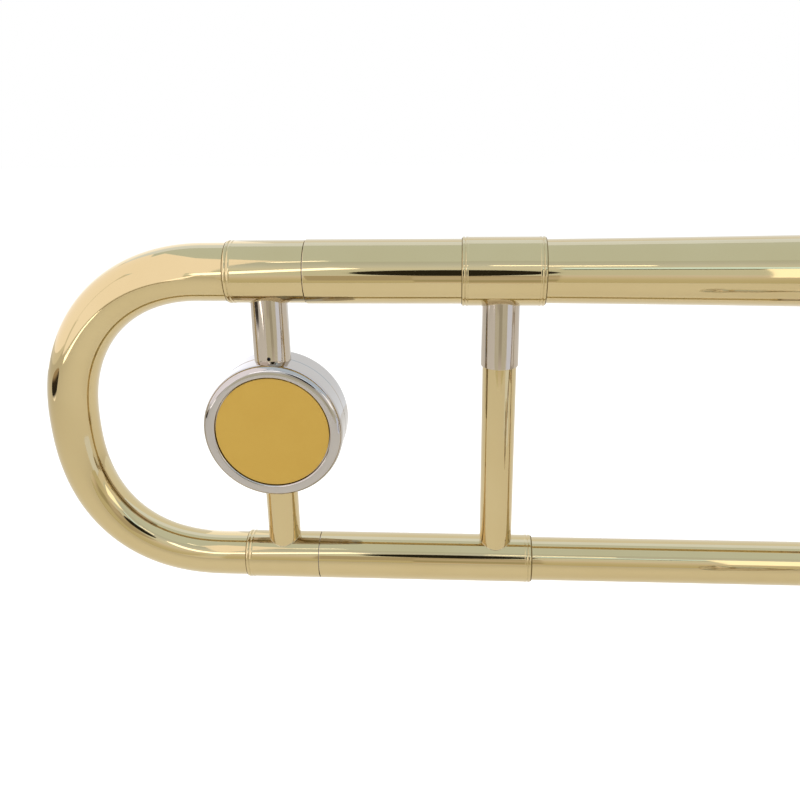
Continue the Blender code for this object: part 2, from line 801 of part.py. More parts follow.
def weight_centre():
    return Vector((WEIGHT_X, 0, WEIGHT_HEIGHT))


def make_weight():
    half = WEIGHT_THICKNESS / 2
    floor = half - INLAY_RECESS - INLAY_THICKNESS - FIT
    for side, turn in (("front", AGAINST_Y), ("rear", ALONG_Y)):
        weight_shell("weight_%s_shell" % side, turn)
        turned(
            "weight_%s_inlay" % side,
            [(floor + FIT, INLAY_R), (half - INLAY_RECESS, INLAY_R)],
            None,
            weight_centre(),
            turn,
            INLAY,
            TUNING_SLIDE,
            BELL_SIDES,
        )
    core_half = floor - WEIGHT_FACE_WALL - FIT
    core_r = WEIGHT_R - WEIGHT_WALL - FIT
    turned(
        "weight_core",
        [(-core_half, core_r), (core_half, core_r)],
        None,
        weight_centre(),
        ALONG_Y,
        SLUG,
        TUNING_SLIDE,
    )


def make_weight_posts():
    place = Vector((WEIGHT_X, 0, 0))
    weight_top = WEIGHT_HEIGHT + WEIGHT_R
    weight_bottom = WEIGHT_HEIGHT - WEIGHT_R
    ferrule_bottom = LEG_SPACING - UPPER_FERRULE_R
    upper = turned(
        "weight_upper_post",
        [
            (weight_top - UPPER_POST_R / 2, UPPER_POST_R),
            (ferrule_bottom + UPPER_FERRULE_R / 2, UPPER_POST_R),
        ],
        None,
        place,
        ALONG_Z,
        NICKEL_SILVER,
        TUNING_SLIDE,
    )
    screw_z = weight_top + SET_SCREW_UP
    screw_face = Vector((WEIGHT_X, -UPPER_POST_R, screw_z))
    hole = cylinder_cutter(
        "set_screw_hole", SET_SCREW_R + FIT, 2 * (SET_SCREW_LENGTH + 2 * FIT), screw_face, ALONG_Y, 12
    )
    cut(
        upper,
        saddle("weight_upper_post", UPPER_FERRULE_R, BELL_AXIS + place),
        saddle("weight_upper_post_foot", WEIGHT_R, weight_centre(), ALONG_Y),
        hole,
    )
    turned(
        "weight_set_screw",
        [(FIT, SET_SCREW_R), (FIT + SET_SCREW_LENGTH, SET_SCREW_R)],
        None,
        screw_face,
        ALONG_Y,
        STEEL,
        TUNING_SLIDE,
        8,
    )
    lower = turned(
        "weight_lower_post",
        [(LOWER_FERRULE_R / 2, LOWER_POST_R), (weight_bottom + LOWER_POST_R / 2, LOWER_POST_R)],
        None,
        place,
        ALONG_Z,
        BRASS,
        TUNING_SLIDE,
    )
    cut(
        lower,
        saddle("weight_lower_post", LOWER_FERRULE_R, NECK_AXIS + place),
        saddle("weight_lower_post_top", WEIGHT_R, weight_centre(), ALONG_Y),
    )


# Inner slide


def make_tenon():
    shoulder_end = SHOULDER_X + SHOULDER_LENGTH
    outside = [
        (-TENON_BACK, CASING_R - SHOULDER_STEP / 4),
        (SHOULDER_X, CASING_R),
        (SHOULDER_X, RECEIVER_BORE + SHOULDER_STEP),
        (shoulder_end, RECEIVER_BORE + SHOULDER_STEP),
        (shoulder_end, CASING_R),
        (TENON_AHEAD, CASING_R),
    ]
    bore = [(-TENON_BACK, CASING_BORE), (TENON_AHEAD, CASING_BORE)]
    turned("slide_tenon", outside, bore, NECK_AXIS, ALONG_X, NICKEL_SILVER, INNER_SLIDE, SLIM_SIDES)


def make_lock_nut():
    # Its front flange pulls on the tenon's shoulder, and its skirt covers the receiver's thread.
    thread_r = RECEIVER_R + THREAD_STEP + RUN
    flange_x = SHOULDER_X + SHOULDER_LENGTH + RUN
    back_x = RECEIVER_END_X - NUT_COVER
    end_x = flange_x + NUT_FLANGE
    outer = thread_r + NUT_WALL
    step = NUT_WALL / 3
    outside = [
        (back_x, outer - step),
        (back_x + step, outer),
        (end_x - step, outer),
        (end_x, outer - step),
    ]
    bore = [
        (back_x, thread_r),
        (flange_x, thread_r),
        (flange_x, CASING_R + RUN),
        (end_x, CASING_R + RUN),
    ]
    turned("bell_lock_nut", outside, bore, NECK_AXIS, ALONG_X, NICKEL_SILVER, LOCK_NUT)


def make_casings():
    straight_tube(
        "bell_leg_sleeve",
        TENON_AHEAD + FIT,
        BARREL_START - FIT,
        CASING_R,
        CASING_BORE,
        NECK_AXIS,
        NICKEL_SILVER,
        INNER_SLIDE,
        SLIM_SIDES,
    )
    straight_tube(
        "mouth_leg_sleeve",
        MOUTH_RECEIVER_AHEAD + FIT,
        BARREL_START - FIT,
        CASING_R,
        CASING_BORE,
        MOUTH_AXIS,
        NICKEL_SILVER,
        INNER_SLIDE,
        SLIM_SIDES,
    )
    floor_x = BARREL_START + BARREL_FLOOR
    for leg, axis in (("bell", NECK_AXIS), ("mouth", MOUTH_AXIS)):
        outside = [
            (BARREL_START, CASING_R + (BARREL_R - CASING_R) / 3),
            (BARREL_START + BARREL_FLOOR / 2, BARREL_R),
            (BARREL_END_X, BARREL_R),
        ]
        bore = [
            (BARREL_START, CASING_BORE),
            (floor_x, CASING_BORE),
            (floor_x, BARREL_BORE),
            (BARREL_END_X, BARREL_BORE),
        ]
        turned(
            leg + "_leg_cork_barrel", outside, bore, axis, ALONG_X, NICKEL_SILVER, INNER_SLIDE, SLIM_SIDES
        )
        straight_tube(
            leg + "_leg_barrel_felt",
            floor_x + FIT,
            floor_x + FIT + FELT_LENGTH,
            CASING_BORE + FELT_WALL,
            CASING_BORE,
            axis,
            FELT,
            INNER_SLIDE,
            SLIM_SIDES,
        )


def make_inner_tubes():
    end = CROOK_JOINT - INNER_SHORT
    swell = end - STOCKING_LENGTH
    starts = (("bell", NECK_AXIS, -TENON_BACK), ("mouth", MOUTH_AXIS, MOUTH_RECEIVER_AHEAD + FIT))
    for leg, axis, start in starts:
        outside = [
            (start, SLIDE_TUBE_R),
            (swell, SLIDE_TUBE_R),
            (swell + STOCKING_RAMP, STOCKING_R),
            (end, STOCKING_R),
        ]
        bore = [(start, SLIDE_TUBE_R - SLIDE_TUBE_WALL), (end, SLIDE_TUBE_R - SLIDE_TUBE_WALL)]
        turned(
            leg + "_leg_inner_tube", outside, bore, axis, ALONG_X, CHROME, INNER_SLIDE, SLIM_SIDES
        )


def leadpipe_radius():
    return SLIDE_TUBE_R - SLIDE_TUBE_WALL - FIT


def make_mouth_receiver():
    bore = leadpipe_radius() + FIT
    outer = bore + MOUTH_RECEIVER_WALL
    start = -MOUTH_RECEIVER_BACK
    beaded_tube(
        "mouthpiece_receiver",
        start,
        MOUTH_RECEIVER_AHEAD,
        outer,
        bore,
        [(start, start + RECEIVER_BEAD_LENGTH, MOUTH_RECEIVER_BEAD)],
        MOUTH_AXIS,
        NICKEL_SILVER,
        INNER_SLIDE,
        SLIM_SIDES,
    )
    pipe_start = start + SHANK_IN + LEADPIPE_GAP
    straight_tube(
        "leadpipe",
        pipe_start,
        pipe_start + LEADPIPE_LENGTH,
        leadpipe_radius(),
        leadpipe_radius() - LEADPIPE_WALL,
        MOUTH_AXIS,
        BRASS,
        INNER_SLIDE,
        SLIM_SIDES,
    )


def make_slide_brace(name, ahead, host_r, body):
    for leg, axis, turn in (("bell", NECK_AXIS, AGAINST_Y), ("mouth", MOUTH_AXIS, ALONG_Y)):
        place = axis + Vector((ahead, 0, 0))
        brace_socket("%s_brace_%s_socket" % (name, leg), axis, host_r, place, turn, NICKEL_SILVER, body)
    low, high = brace_span(host_r, host_r, SLIDE_SPACING)
    turned(
        name + "_brace_tube",
        [(low, GRIP_TUBE_R), (high, GRIP_TUBE_R)],
        [(low, GRIP_TUBE_R - GRIP_TUBE_WALL), (high, GRIP_TUBE_R - GRIP_TUBE_WALL)],
        Vector((ahead, 0, 0)),
        AGAINST_Y,
        NICKEL_SILVER,
        body,
        SLIM_SIDES,
    )


def make_mouthpiece():
    rim_x = -MOUTH_RECEIVER_BACK + SHANK_IN - MOUTHPIECE_LENGTH
    end_x = rim_x + MOUTHPIECE_LENGTH
    seat_r = leadpipe_radius() - FIT
    tip_r = SHANK_R - FIT
    outside = [
        (rim_x, CUP_R + 0.4 * (MOUTHPIECE_RIM_R - CUP_R)),
        (rim_x + 0.02 * MOUTHPIECE_LENGTH, MOUTHPIECE_RIM_R * 0.96),
        (rim_x + 0.05 * MOUTHPIECE_LENGTH, MOUTHPIECE_RIM_R),
        (rim_x + 0.1 * MOUTHPIECE_LENGTH, MOUTHPIECE_RIM_R * 0.88),
        (rim_x + 0.2 * MOUTHPIECE_LENGTH, MOUTHPIECE_RIM_R * 0.8),
        (rim_x + 0.32 * MOUTHPIECE_LENGTH, MOUTHPIECE_RIM_R * 0.62),
        (rim_x + 0.4 * MOUTHPIECE_LENGTH, MOUTHPIECE_RIM_R * 0.4),
        (rim_x + 0.48 * MOUTHPIECE_LENGTH, seat_r),
        (end_x - SHANK_IN, seat_r),
        (end_x, tip_r),
    ]
    back_bore = tip_r - SHANK_TIP_WALL
    bore = [
        (rim_x, CUP_R),
        (rim_x + CUP_DEPTH * 0.3, CUP_R * 0.93),
        (rim_x + CUP_DEPTH * 0.65, CUP_R * 0.72),
        (rim_x + CUP_DEPTH, THROAT_R),
        (rim_x + CUP_DEPTH + THROAT_LENGTH, THROAT_R),
        (end_x, back_bore),
    ]
    turned("mouthpiece", outside, bore, MOUTH_AXIS, ALONG_X, SILVER, MOUTHPIECE, TUBE_SIDES)


# Slide lock


def lug_x():
    return BARREL_END_X + LOCK_RING_LENGTH - LOCK_RING_GRIP - LOCK_FLANGE - LUG_LENGTH - 2 * RUN


def make_lock_ring():
    start = BARREL_END_X - LOCK_RING_GRIP
    end = start + LOCK_RING_LENGTH
    bore = BARREL_R + RUN
    ring = turned(
        "slide_lock_ring",
        [(start, bore + LOCK_RING_WALL), (end, bore + LOCK_RING_WALL)],
        [
            (start, bore),
            (end - LOCK_FLANGE, bore),
            (end - LOCK_FLANGE, TOP_FERRULE_R + RUN),
            (end, TOP_FERRULE_R + RUN),
        ],
        MOUTH_AXIS,
        ALONG_X,
        NICKEL_SILVER,
        LOCK_RING,
    )
    half = LUG_WIDTH / 2 + 2 * RUN
    notch = box(
        "lock_notch",
        (end - LOCK_FLANGE - RUN, -SLIDE_SPACING - half, TOP_FERRULE_BORE),
        (end + RUN, -SLIDE_SPACING + half, TOP_FERRULE_R + LUG_HEIGHT + 2 * RUN),
    )
    cut(ring, notch)


# Outer slide


def make_outer_slide():
    for leg, axis in (("bell", NECK_AXIS), ("mouth", MOUTH_AXIS)):
        straight_tube(
            leg + "_leg_outer_tube",
            OUTER_TOP_X,
            CROOK_JOINT - FIT,
            OUTER_R,
            OUTER_BORE,
            axis,
            BRASS,
            OUTER_SLIDE,
            SLIM_SIDES,
        )
        ferrule = straight_tube(
            leg + "_leg_top_ferrule",
            OUTER_TOP_X,
            OUTER_TOP_X + TOP_FERRULE_LENGTH,
            TOP_FERRULE_R,
            TOP_FERRULE_BORE,
            axis,
            NICKEL_SILVER,
            OUTER_SLIDE,
            SLIM_SIDES,
        )
        if leg == "mouth":
            lug = box(
                "lock_lug",
                (lug_x(), axis.y - LUG_WIDTH / 2, TOP_FERRULE_BORE + TOP_FERRULE_WALL / 2),
                (lug_x() + LUG_LENGTH, axis.y + LUG_WIDTH / 2, TOP_FERRULE_R + LUG_HEIGHT),
            )
            join(ferrule, lug)
        start = CROOK_JOINT - CROOK_FERRULE_LENGTH / 2
        end = CROOK_JOINT + CROOK_FERRULE_LENGTH / 2
        bead = RECEIVER_BEAD_LENGTH / 2
        beaded_tube(
            leg + "_leg_crook_ferrule",
            start,
            end,
            CROOK_FERRULE_R,
            OUTER_R + FIT,
            [(start, start + bead, CROOK_FERRULE_BEAD), (end - bead, end, CROOK_FERRULE_BEAD)],
            axis,
            NICKEL_SILVER,
            OUTER_SLIDE,
            SLIM_SIDES,
        )


def make_crook():
    route = [(Vector((CROOK_JOINT + FIT, 0, 0)), OUTER_R)]
    for step in range(CROOK_STEPS + 1):
        angle = math.pi * step / CROOK_STEPS
        place = Vector((math.sin(angle), math.cos(angle) - 1, 0)) * CROOK_BEND_R
        route.append((place + Vector((CROOK_CENTRE_X, 0, 0)), OUTER_R))
    route.append((Vector((CROOK_JOINT + FIT, -SLIDE_SPACING, 0)), OUTER_R))
    pipe("slide_crook", route, CROOK_WALL, BRASS, OUTER_SLIDE, 16)


def make_bumper():
    axis = Vector((0, -SLIDE_SPACING / 2, 0))
    start = CROOK_APEX_X
    end = start + OUTER_R + HOLDER_LENGTH
    cavity = HOLDER_R - HOLDER_WALL
    floor = start + OUTER_R + 2 * FIT + HOLDER_WALL
    holder = turned(
        "bumper_holder",
        [(start, HOLDER_R), (end, HOLDER_R)],
        None,
        axis,
        ALONG_X,
        NICKEL_SILVER,
        OUTER_SLIDE,
        SLIM_SIDES,
    )
    hole = turned(
        "bumper_hole",
        [(floor, cavity), (end + HOLDER_WALL, cavity)],
        None,
        axis,
        ALONG_X,
        None,
        None,
        SLIM_SIDES,
    )
    seat = saddle("bumper", OUTER_R + FIT, axis + Vector((CROOK_APEX_X, 0, 0)), ALONG_Y)
    cut(holder, seat, hole)
    head = end + FIT
    turned(
        "rubber_bumper",
        [
            (floor + FIT, cavity - FIT),
            (head, cavity - FIT),
            (head, HOLDER_R),
            (head + BUMPER_HEAD * 0.55, HOLDER_R),
            (head + BUMPER_HEAD * 0.9, BUMPER_TIP_R + (HOLDER_R - BUMPER_TIP_R) * 0.45),
            (head + BUMPER_HEAD, BUMPER_TIP_R),
        ],
        None,
        axis,
        ALONG_X,
        RUBBER,
        OUTER_SLIDE,
        SLIM_SIDES,
    )


# Water key


def make_water_key_seat():
    nipple = turned(
        "water_key_nipple",
        [(OUTER_R / 2, NIPPLE_R), (OUTER_R + NIPPLE_HEIGHT, NIPPLE_R)],
        [(OUTER_R / 2, NIPPLE_BORE_R), (OUTER_R + NIPPLE_HEIGHT, NIPPLE_BORE_R)],
        Vector((NIPPLE_X, 0, 0)),
        ALONG_Y,
        NICKEL_SILVER,
        OUTER_SLIDE,
        SLIM_SIDES,
    )
    cut(nipple, saddle("water_key_nipple", OUTER_R, Vector((NIPPLE_X, 0, 0))))

    outer = EAR_GAP / 2 + EAR_THICKNESS
    half = EAR_LENGTH / 2
    top = PIVOT_Y + PIVOT_SCREW_R + FIT + EAR_THICKNESS
    clear = OUTER_R + FIT + EAR_THICKNESS
    block = box(
        "water_key_saddle",
        (PIVOT_X - half, OUTER_R / 3, -outer),
        (PIVOT_X + half, top, outer),
        NICKEL_SILVER,
        OUTER_SLIDE,
    )
    between = box(
        "ear_gap",
        (PIVOT_X - EAR_LENGTH, clear, -EAR_GAP / 2),
        (PIVOT_X + EAR_LENGTH, top + EAR_LENGTH, EAR_GAP / 2),
    )
    pin_hole = cylinder_cutter(
        "pivot_hole", PIVOT_SCREW_R + FIT, 4 * outer, Vector((PIVOT_X, PIVOT_Y, 0)), ALONG_Z, 12
    )
    cut(block, between, pin_hole, saddle("water_key_saddle", OUTER_R, Vector((PIVOT_X, 0, 0))))
    turned(
        "water_key_screw",
        [
            (-outer - PIVOT_HEAD / 2, PIVOT_SCREW_R),
            (outer + FIT, PIVOT_SCREW_R),
            (outer + FIT, PIVOT_HEAD_R),
            (outer + FIT + PIVOT_HEAD, PIVOT_HEAD_R),
        ],
        None,
        Vector((PIVOT_X, PIVOT_Y, 0)),
        ALONG_Z,
        STEEL,
        OUTER_SLIDE,
        12,
    )


def hub_radius():
    return PIVOT_SCREW_R + RUN + HUB_WALL


def make_water_key_lever():
    # Local frame: the pivot is at the origin, +X to the cork, +Y away from the tube.
    pivot = Vector((PIVOT_X, PIVOT_Y, 0))
    low_z = -EAR_GAP / 2 + RUN
    high_z = low_z + HUB_WIDTH
    middle_z = (low_z + high_z) / 2
    cork_base = OUTER_R + NIPPLE_HEIGHT + RUN
    cup_low = cork_base + KEY_CORK_THICKNESS - KEY_CUP_DEPTH
    cup_top = cork_base + KEY_CORK_THICKNESS + FIT + KEY_CUP_WALL
    cup_r = KEY_CORK_R + FIT + KEY_CUP_WALL

    cup = turned(
        "water_key_lever",
        [(cup_low, cup_r), (cup_top, cup_r), (cup_top + KEY_CUP_WALL, cup_r * 0.6)],
        None,
        Vector((NIPPLE_X, 0, 0)),
        ALONG_Y,
        NICKEL_SILVER,
        WATER_KEY,
        SLIM_SIDES,
    )
    hub = turned(
        "key_hub",
        [(low_z, hub_radius()), (high_z, hub_radius())],
        None,
        pivot,
        ALONG_Z,
        None,
        None,
        SLIM_SIDES,
    )
    arm_low = cup_top - KEY_CUP_WALL / 2
    arm_end = (NIPPLE_X + NIPPLE_R / 2, arm_low + ARM_THICKNESS, max(middle_z, 0) + ARM_WIDTH / 2)
    front_arm = box(
        "key_front_arm",
        (PIVOT_X - HUB_WALL / 2, arm_low, middle_z - ARM_WIDTH / 2),
        arm_end,
    )
    # The back arm's points: share of the reach, height over the pivot, and sideways.
    back_places = [
        (-0.02, hub_radius() / 2, middle_z),
        (0.3, TOUCH_RISE * 0.6, middle_z),
        (0.65, TOUCH_RISE, middle_z * 0.4),
        (1, TOUCH_RISE, 0),
    ]
    back_curve = [
        (Vector((PIVOT_X - KEY_REACH * share, PIVOT_Y + rise, side)), ARM_THICKNESS / 2)
        for share, rise, side in back_places
    ]
    back_arm = pipe("key_back_arm", back_curve, None, None, None, 8)
    touch_mesh = bpy.data.meshes.new("key_touch")
    work = bmesh.new()
    bmesh.ops.create_uvsphere(work, u_segments=12, v_segments=8, radius=0.5)
    bmesh.ops.scale(work, vec=(TOUCH_LENGTH, TOUCH_THICKNESS, TOUCH_WIDTH), verts=work.verts)
    work.to_mesh(touch_mesh)
    work.free()
    touch_place = Matrix.Translation((PIVOT_X - KEY_REACH, PIVOT_Y + TOUCH_RISE, 0))
    touch = add_object("key_touch", touch_mesh, touch_place, None, None)
    bore = cylinder_cutter("key_bore", PIVOT_SCREW_R + RUN, 2 * EAR_GAP, pivot, ALONG_Z, 12)
    room_r = KEY_CORK_R + FIT
    cork_room = turned(
        "cork_room",
        [(cup_low - KEY_CUP_WALL, room_r), (cork_base + KEY_CORK_THICKNESS + FIT, room_r)],
        None,
        Vector((NIPPLE_X, 0, 0)),
        ALONG_Y,
        None,
        None,
        SLIM_SIDES,
    )
    join(cup, front_arm, hub, back_arm, touch)
    cut(cup, bore, cork_room)
    turned(
        "water_key_cork",
        [(cork_base, KEY_CORK_R), (cork_base + KEY_CORK_THICKNESS, KEY_CORK_R)],
        None,
        Vector((NIPPLE_X, 0, 0)),
        ALONG_Y,
        CORK,
        WATER_KEY,
        SLIM_SIDES,
    )


def make_water_key_spring():
    # One wire: a short leg down to the tube, the coil round the screw, and a leg beside the front arm.
    wire = SPRING_WIRE_R
    coil_r = PIVOT_SCREW_R + FIT + wire
    length = SPRING_TURNS * SPRING_PITCH
    start_z = EAR_GAP / 2 - FIT - wire - length
    points = []
    steps = round(SPRING_TURNS * SPRING_POINTS)
    for step in range(steps + 1):
        angle = math.radians(180) + math.tau * SPRING_TURNS * step / steps
        z = start_z + length * step / steps
        points.append(
            Vector((PIVOT_X + coil_r * math.cos(angle), PIVOT_Y + coil_r * math.sin(angle), z))
        )
    tube_top = OUTER_R + FIT + EAR_THICKNESS + FIT + wire
    points.insert(0, Vector((PIVOT_X - coil_r, min(PIVOT_Y - wire, tube_top + wire), start_z)))
    points.append(points[-1] + Vector((0, SPRING_LEG / 2, 0)))
    gap = min(
        (points[i] - points[j]).length - 2 * wire
        for i in range(len(points))
        for j in range(i + SPRING_POINTS // 2, len(points))
    )
    print("water key spring: least gap to itself %.2f mm" % (gap / MM))
    pipe("water_key_spring", [(p, wire) for p in points], None, STEEL, OUTER_SLIDE, 6)


FERRULE_R = make_bell()
make_outer_tubes()
make_neckpipe()
make_rear_brace(FERRULE_R)
make_front_brace()
make_bow()
make_tuning_legs()
make_weight()
make_weight_posts()
make_tenon()
make_lock_nut()
make_casings()
make_inner_tubes()
make_mouth_receiver()
make_slide_brace("inner", INNER_BRACE_AHEAD, CASING_R, INNER_SLIDE)
make_mouthpiece()
make_lock_ring()
make_outer_slide()
make_slide_brace("outer", OUTER_BRACE_AHEAD, OUTER_R, OUTER_SLIDE)
make_crook()
make_bumper()
make_water_key_seat()
make_water_key_lever()
make_water_key_spring()
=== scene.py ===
# %% [markdown]
# # A tenor trombone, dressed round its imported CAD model
# The photograph is a close view of the rear of the bell section: the tuning slide, the round
# counterweight between its legs, the rear brace, and the start of the bell and of the neckpipe. The
# CAD model holds every solid at its real size and place. This script leaves it where it is and puts
# a smooth, finished piece in the place of each faceted solid, with a material made from nodes. A
# trombone is tube work and lathe work, so nearly every piece starts as half a section that is spun
# round an axis, which is how a bell, a ferrule or a mouthpiece is made too.

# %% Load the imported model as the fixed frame
import math

import bpy
from mathutils import Matrix, Vector
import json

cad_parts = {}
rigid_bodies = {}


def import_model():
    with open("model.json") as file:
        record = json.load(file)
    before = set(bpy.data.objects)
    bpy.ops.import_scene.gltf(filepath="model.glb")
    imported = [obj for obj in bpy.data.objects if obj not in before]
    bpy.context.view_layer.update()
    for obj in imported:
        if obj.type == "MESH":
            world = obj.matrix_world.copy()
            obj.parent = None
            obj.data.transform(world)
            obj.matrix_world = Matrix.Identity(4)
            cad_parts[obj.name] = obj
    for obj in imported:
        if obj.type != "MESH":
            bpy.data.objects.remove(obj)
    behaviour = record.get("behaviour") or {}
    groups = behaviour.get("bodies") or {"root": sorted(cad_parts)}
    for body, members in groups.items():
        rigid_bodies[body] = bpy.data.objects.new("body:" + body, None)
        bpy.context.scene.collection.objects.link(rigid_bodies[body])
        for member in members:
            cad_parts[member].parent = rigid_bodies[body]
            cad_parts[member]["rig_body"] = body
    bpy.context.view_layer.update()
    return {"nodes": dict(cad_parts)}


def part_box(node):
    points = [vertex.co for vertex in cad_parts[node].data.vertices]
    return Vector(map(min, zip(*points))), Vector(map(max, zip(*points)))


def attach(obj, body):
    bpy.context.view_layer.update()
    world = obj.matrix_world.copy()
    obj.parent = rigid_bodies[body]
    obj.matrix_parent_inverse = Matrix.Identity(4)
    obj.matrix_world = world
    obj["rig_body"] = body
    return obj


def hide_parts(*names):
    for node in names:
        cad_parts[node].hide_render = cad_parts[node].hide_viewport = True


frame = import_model()
bpy.ops.object.select_all(action="DESELECT")

# %% [markdown]
# Sizes in this file are in millimetres, as on a maker's drawing, and become metres where they reach
# Blender. Where a size is the CAD model's, it is read from the node's box, so that a piece sits
# exactly where its solid does.

# %% Millimetres, and where the CAD nodes are
MM = 0.001


def box_mm(node):
    low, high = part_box(node)
    return [(a / MM, b / MM) for a, b in zip(low, high)]


def middle(span):
    return (span[0] + span[1]) / 2


def half(span):
    return (span[1] - span[0]) / 2


BELL_AXIS = (0, 0, middle(box_mm("upper_outer_tube")[2]))
NECK_AXIS = (0, 0, 0)
MOUTH_AXIS = (0, middle(box_mm("mouth_leg_outer_tube")[1]), 0)
LEG_AXES = {"bell": NECK_AXIS, "mouth": MOUTH_AXIS}
print("bell axis at z %.1f mm, mouthpiece leg at y %.1f mm" % (BELL_AXIS[2], MOUTH_AXIS[1]))

# %% [markdown]
# ## Camera
# The photograph was taken from close by, a little above the instrument and almost square to it. The
# place and the turns below were found by fitting the ends of the ferrules, the axes of the tubes
# and the rim of the weight to where they are in the photograph.

# %% The camera at the photograph's view
CAMERA_PLACE = Vector((-0.193555, -0.309065, 0.18468))
YAW, PITCH, ROLL = 0.073, 0.3662, -0.0177  # radians
LENS, SENSOR = 40.5, 36  # millimetres

flat = math.cos(PITCH)
ahead = Vector((-math.sin(YAW) * flat, math.cos(YAW) * flat, -math.sin(PITCH)))
level = Vector((math.cos(YAW), math.sin(YAW), 0))
upward = level.cross(ahead)
across = level * math.cos(ROLL) + upward * math.sin(ROLL)
top = upward * math.cos(ROLL) - level * math.sin(ROLL)
turn = Matrix((across, top, -ahead)).transposed()
bpy.ops.object.camera_add(location=CAMERA_PLACE, rotation=turn.to_euler())
camera = bpy.context.object
camera.name = "studio_camera"
camera.data.lens = LENS
camera.data.sensor_width = SENSOR
camera.data.clip_start = 0.01
bpy.context.scene.camera = camera
print("camera looks down by %.1f degrees" % math.degrees(PITCH))

# %% [markdown]
# ## Materials
# Each finish starts from what the real one is. Metal shows almost nothing but what it reflects, so
# its colour is the tint that it gives to a white wall, and the life in it comes from small changes
# of roughness and from a surface that is never quite true.

# %% Colours and nodes
def linear(code):
    parts = [int(code[i : i + 2], 16) / 255 for i in (1, 3, 5)]
    turned = [c / 12.92 if c <= 0.04045 else ((c + 0.055) / 1.055) ** 2.4 for c in parts]
    return (*turned, 1)


def add_node(material, kind, settings=(), values=(), links=()):
    tree = material.node_tree
    node = tree.nodes.new(kind)
    for name, value in dict(settings).items():
        setattr(node, name, value)
    for socket, value in dict(values).items():
        node.inputs[socket].default_value = value
    for socket, source in dict(links).items():
        tree.links.new(source, node.inputs[socket])
    return node


def per_mm(size):
    # Noise scale that gives features of that size in millimetres.
    return 1 / (size * MM)


def new_material(name):
    material = bpy.data.materials.new(name)
    material.use_nodes = True
    return material, material.node_tree.nodes["Principled BSDF"]


def mottled(material, shader, light, dark, patch, detail=3.0):
    # The colour wanders between two close tones, in patches of that size.
    place = add_node(material, "ShaderNodeTexCoord")
    noise = add_node(
        material,
        "ShaderNodeTexNoise",
        values={"Scale": per_mm(patch), "Detail": detail, "Roughness": 0.5},
        links={"Vector": place.outputs["Object"]},
    )
    mix = add_node(
        material,
        "ShaderNodeMix",
        {"data_type": "RGBA"},
        {6: linear(dark), 7: linear(light)},
        {0: noise.outputs["Fac"]},
    )
    material.node_tree.links.new(mix.outputs[2], shader.inputs["Base Color"])
    return place


def uneven(material, shader, place, size, depth):
    # A surface that rises and falls by depth, in waves of that size, both in millimetres.
    noise = add_node(
        material,
        "ShaderNodeTexNoise",
        values={"Scale": per_mm(size), "Detail": 2.0},
        links={"Vector": place.outputs["Object"]},
    )
    bump = add_node(
        material,
        "ShaderNodeBump",
        values={"Strength": 1.0, "Distance": depth * MM},
        links={"Height": noise.outputs["Fac"]},
    )
    material.node_tree.links.new(bump.outputs["Normal"], shader.inputs["Normal"])


def polished(material, shader, place, low, high, size):
    # Roughness that wanders from low to high, as a buffing mop leaves it.
    noise = add_node(
        material,
        "ShaderNodeTexNoise",
        values={"Scale": per_mm(size), "Detail": 4.0},
        links={"Vector": place.outputs["Object"]},
    )
    spread = add_node(
        material,
        "ShaderNodeMapRange",
        values={"From Min": 0.3, "From Max": 0.7, "To Min": low, "To Max": high},
        links={"Value": noise.outputs["Fac"]},
    )
    material.node_tree.links.new(spread.outputs["Result"], shader.inputs["Roughness"])


FINISHES = {}


def metal(finish, name, light, dark, patch, buffed, mop, waves=None, metallic=1.0):
    # buffed is the lowest and highest roughness, in patches of mop. waves are the size and depth of
    # the unevenness. Sizes are in millimetres.
    material, shader = new_material(name)
    shader.inputs["Metallic"].default_value = metallic
    place = mottled(material, shader, light, dark, patch)
    polished(material, shader, place, *buffed, mop)
    if waves:
        uneven(material, shader, place, *waves)
    FINISHES[finish] = material
    return shader


def soft_stuff(finish, name, light, dark, patch, roughness, waves, detail=3.0):
    material, shader = new_material(name)
    shader.inputs["Roughness"].default_value = roughness
    place = mottled(material, shader, light, dark, patch, detail)
    uneven(material, shader, place, *waves)
    FINISHES[finish] = material
    return shader


# %% [markdown]
# **Lacquered yellow brass.** About 70% copper and 30% zinc, buffed to a mirror and sprayed with
# clear lacquer. The lacquer adds a thin second gloss, levels out to a faint orange peel, and leaves
# the colour a pale gold that turns a little warmer where it lies thicker.

# %% Lacquered yellow brass
LACQUER = ("lacquered_brass", "lacquered_yellow_brass", "#ccb88a", "#c6b07f", 26)
shader = metal(*LACQUER, (0.025, 0.07), 9, (6, 0.0012))
shader.inputs["Coat Weight"].default_value = 0.18
shader.inputs["Coat Roughness"].default_value = 0.03

# %% [markdown]
# **Nickel silver and plate.** Nickel silver is copper, nickel and zinc with no silver in it: harder
# and greyer than brass, with a faint warm cast, and not lacquered to as deep a gloss. The
# counterweight's two turned cups are under bright nickel and chrome. Plating levels itself in the
# bath, so it is smoother and colder. The slide tubes are hard chrome that is honed, and the
# mouthpiece is silver plated.

# %% Nickel silver, chrome and silver plate
NICKEL = ("nickel_silver", "buffed_nickel_silver", "#c6bbaa", "#bdae9d", 18)
for kind in (
    (*NICKEL, (0.05, 0.11), 5, (5, 0.0012)),
    ("chrome_case", "bright_chrome_plate", "#bdb6ae", "#b3aba2", 22, (0.03, 0.07), 7, (8, 0.001)),
    ("chrome_tube", "honed_chrome_tube", "#cdd0d3", "#c3c6ca", 30, (0.08, 0.15), 3, (3, 0.001)),
    ("silver_plate", "silver_plate", "#e4e0d8", "#d8d2c6", 14, (0.04, 0.1), 6, (7, 0.0012)),
):
    metal(*kind)

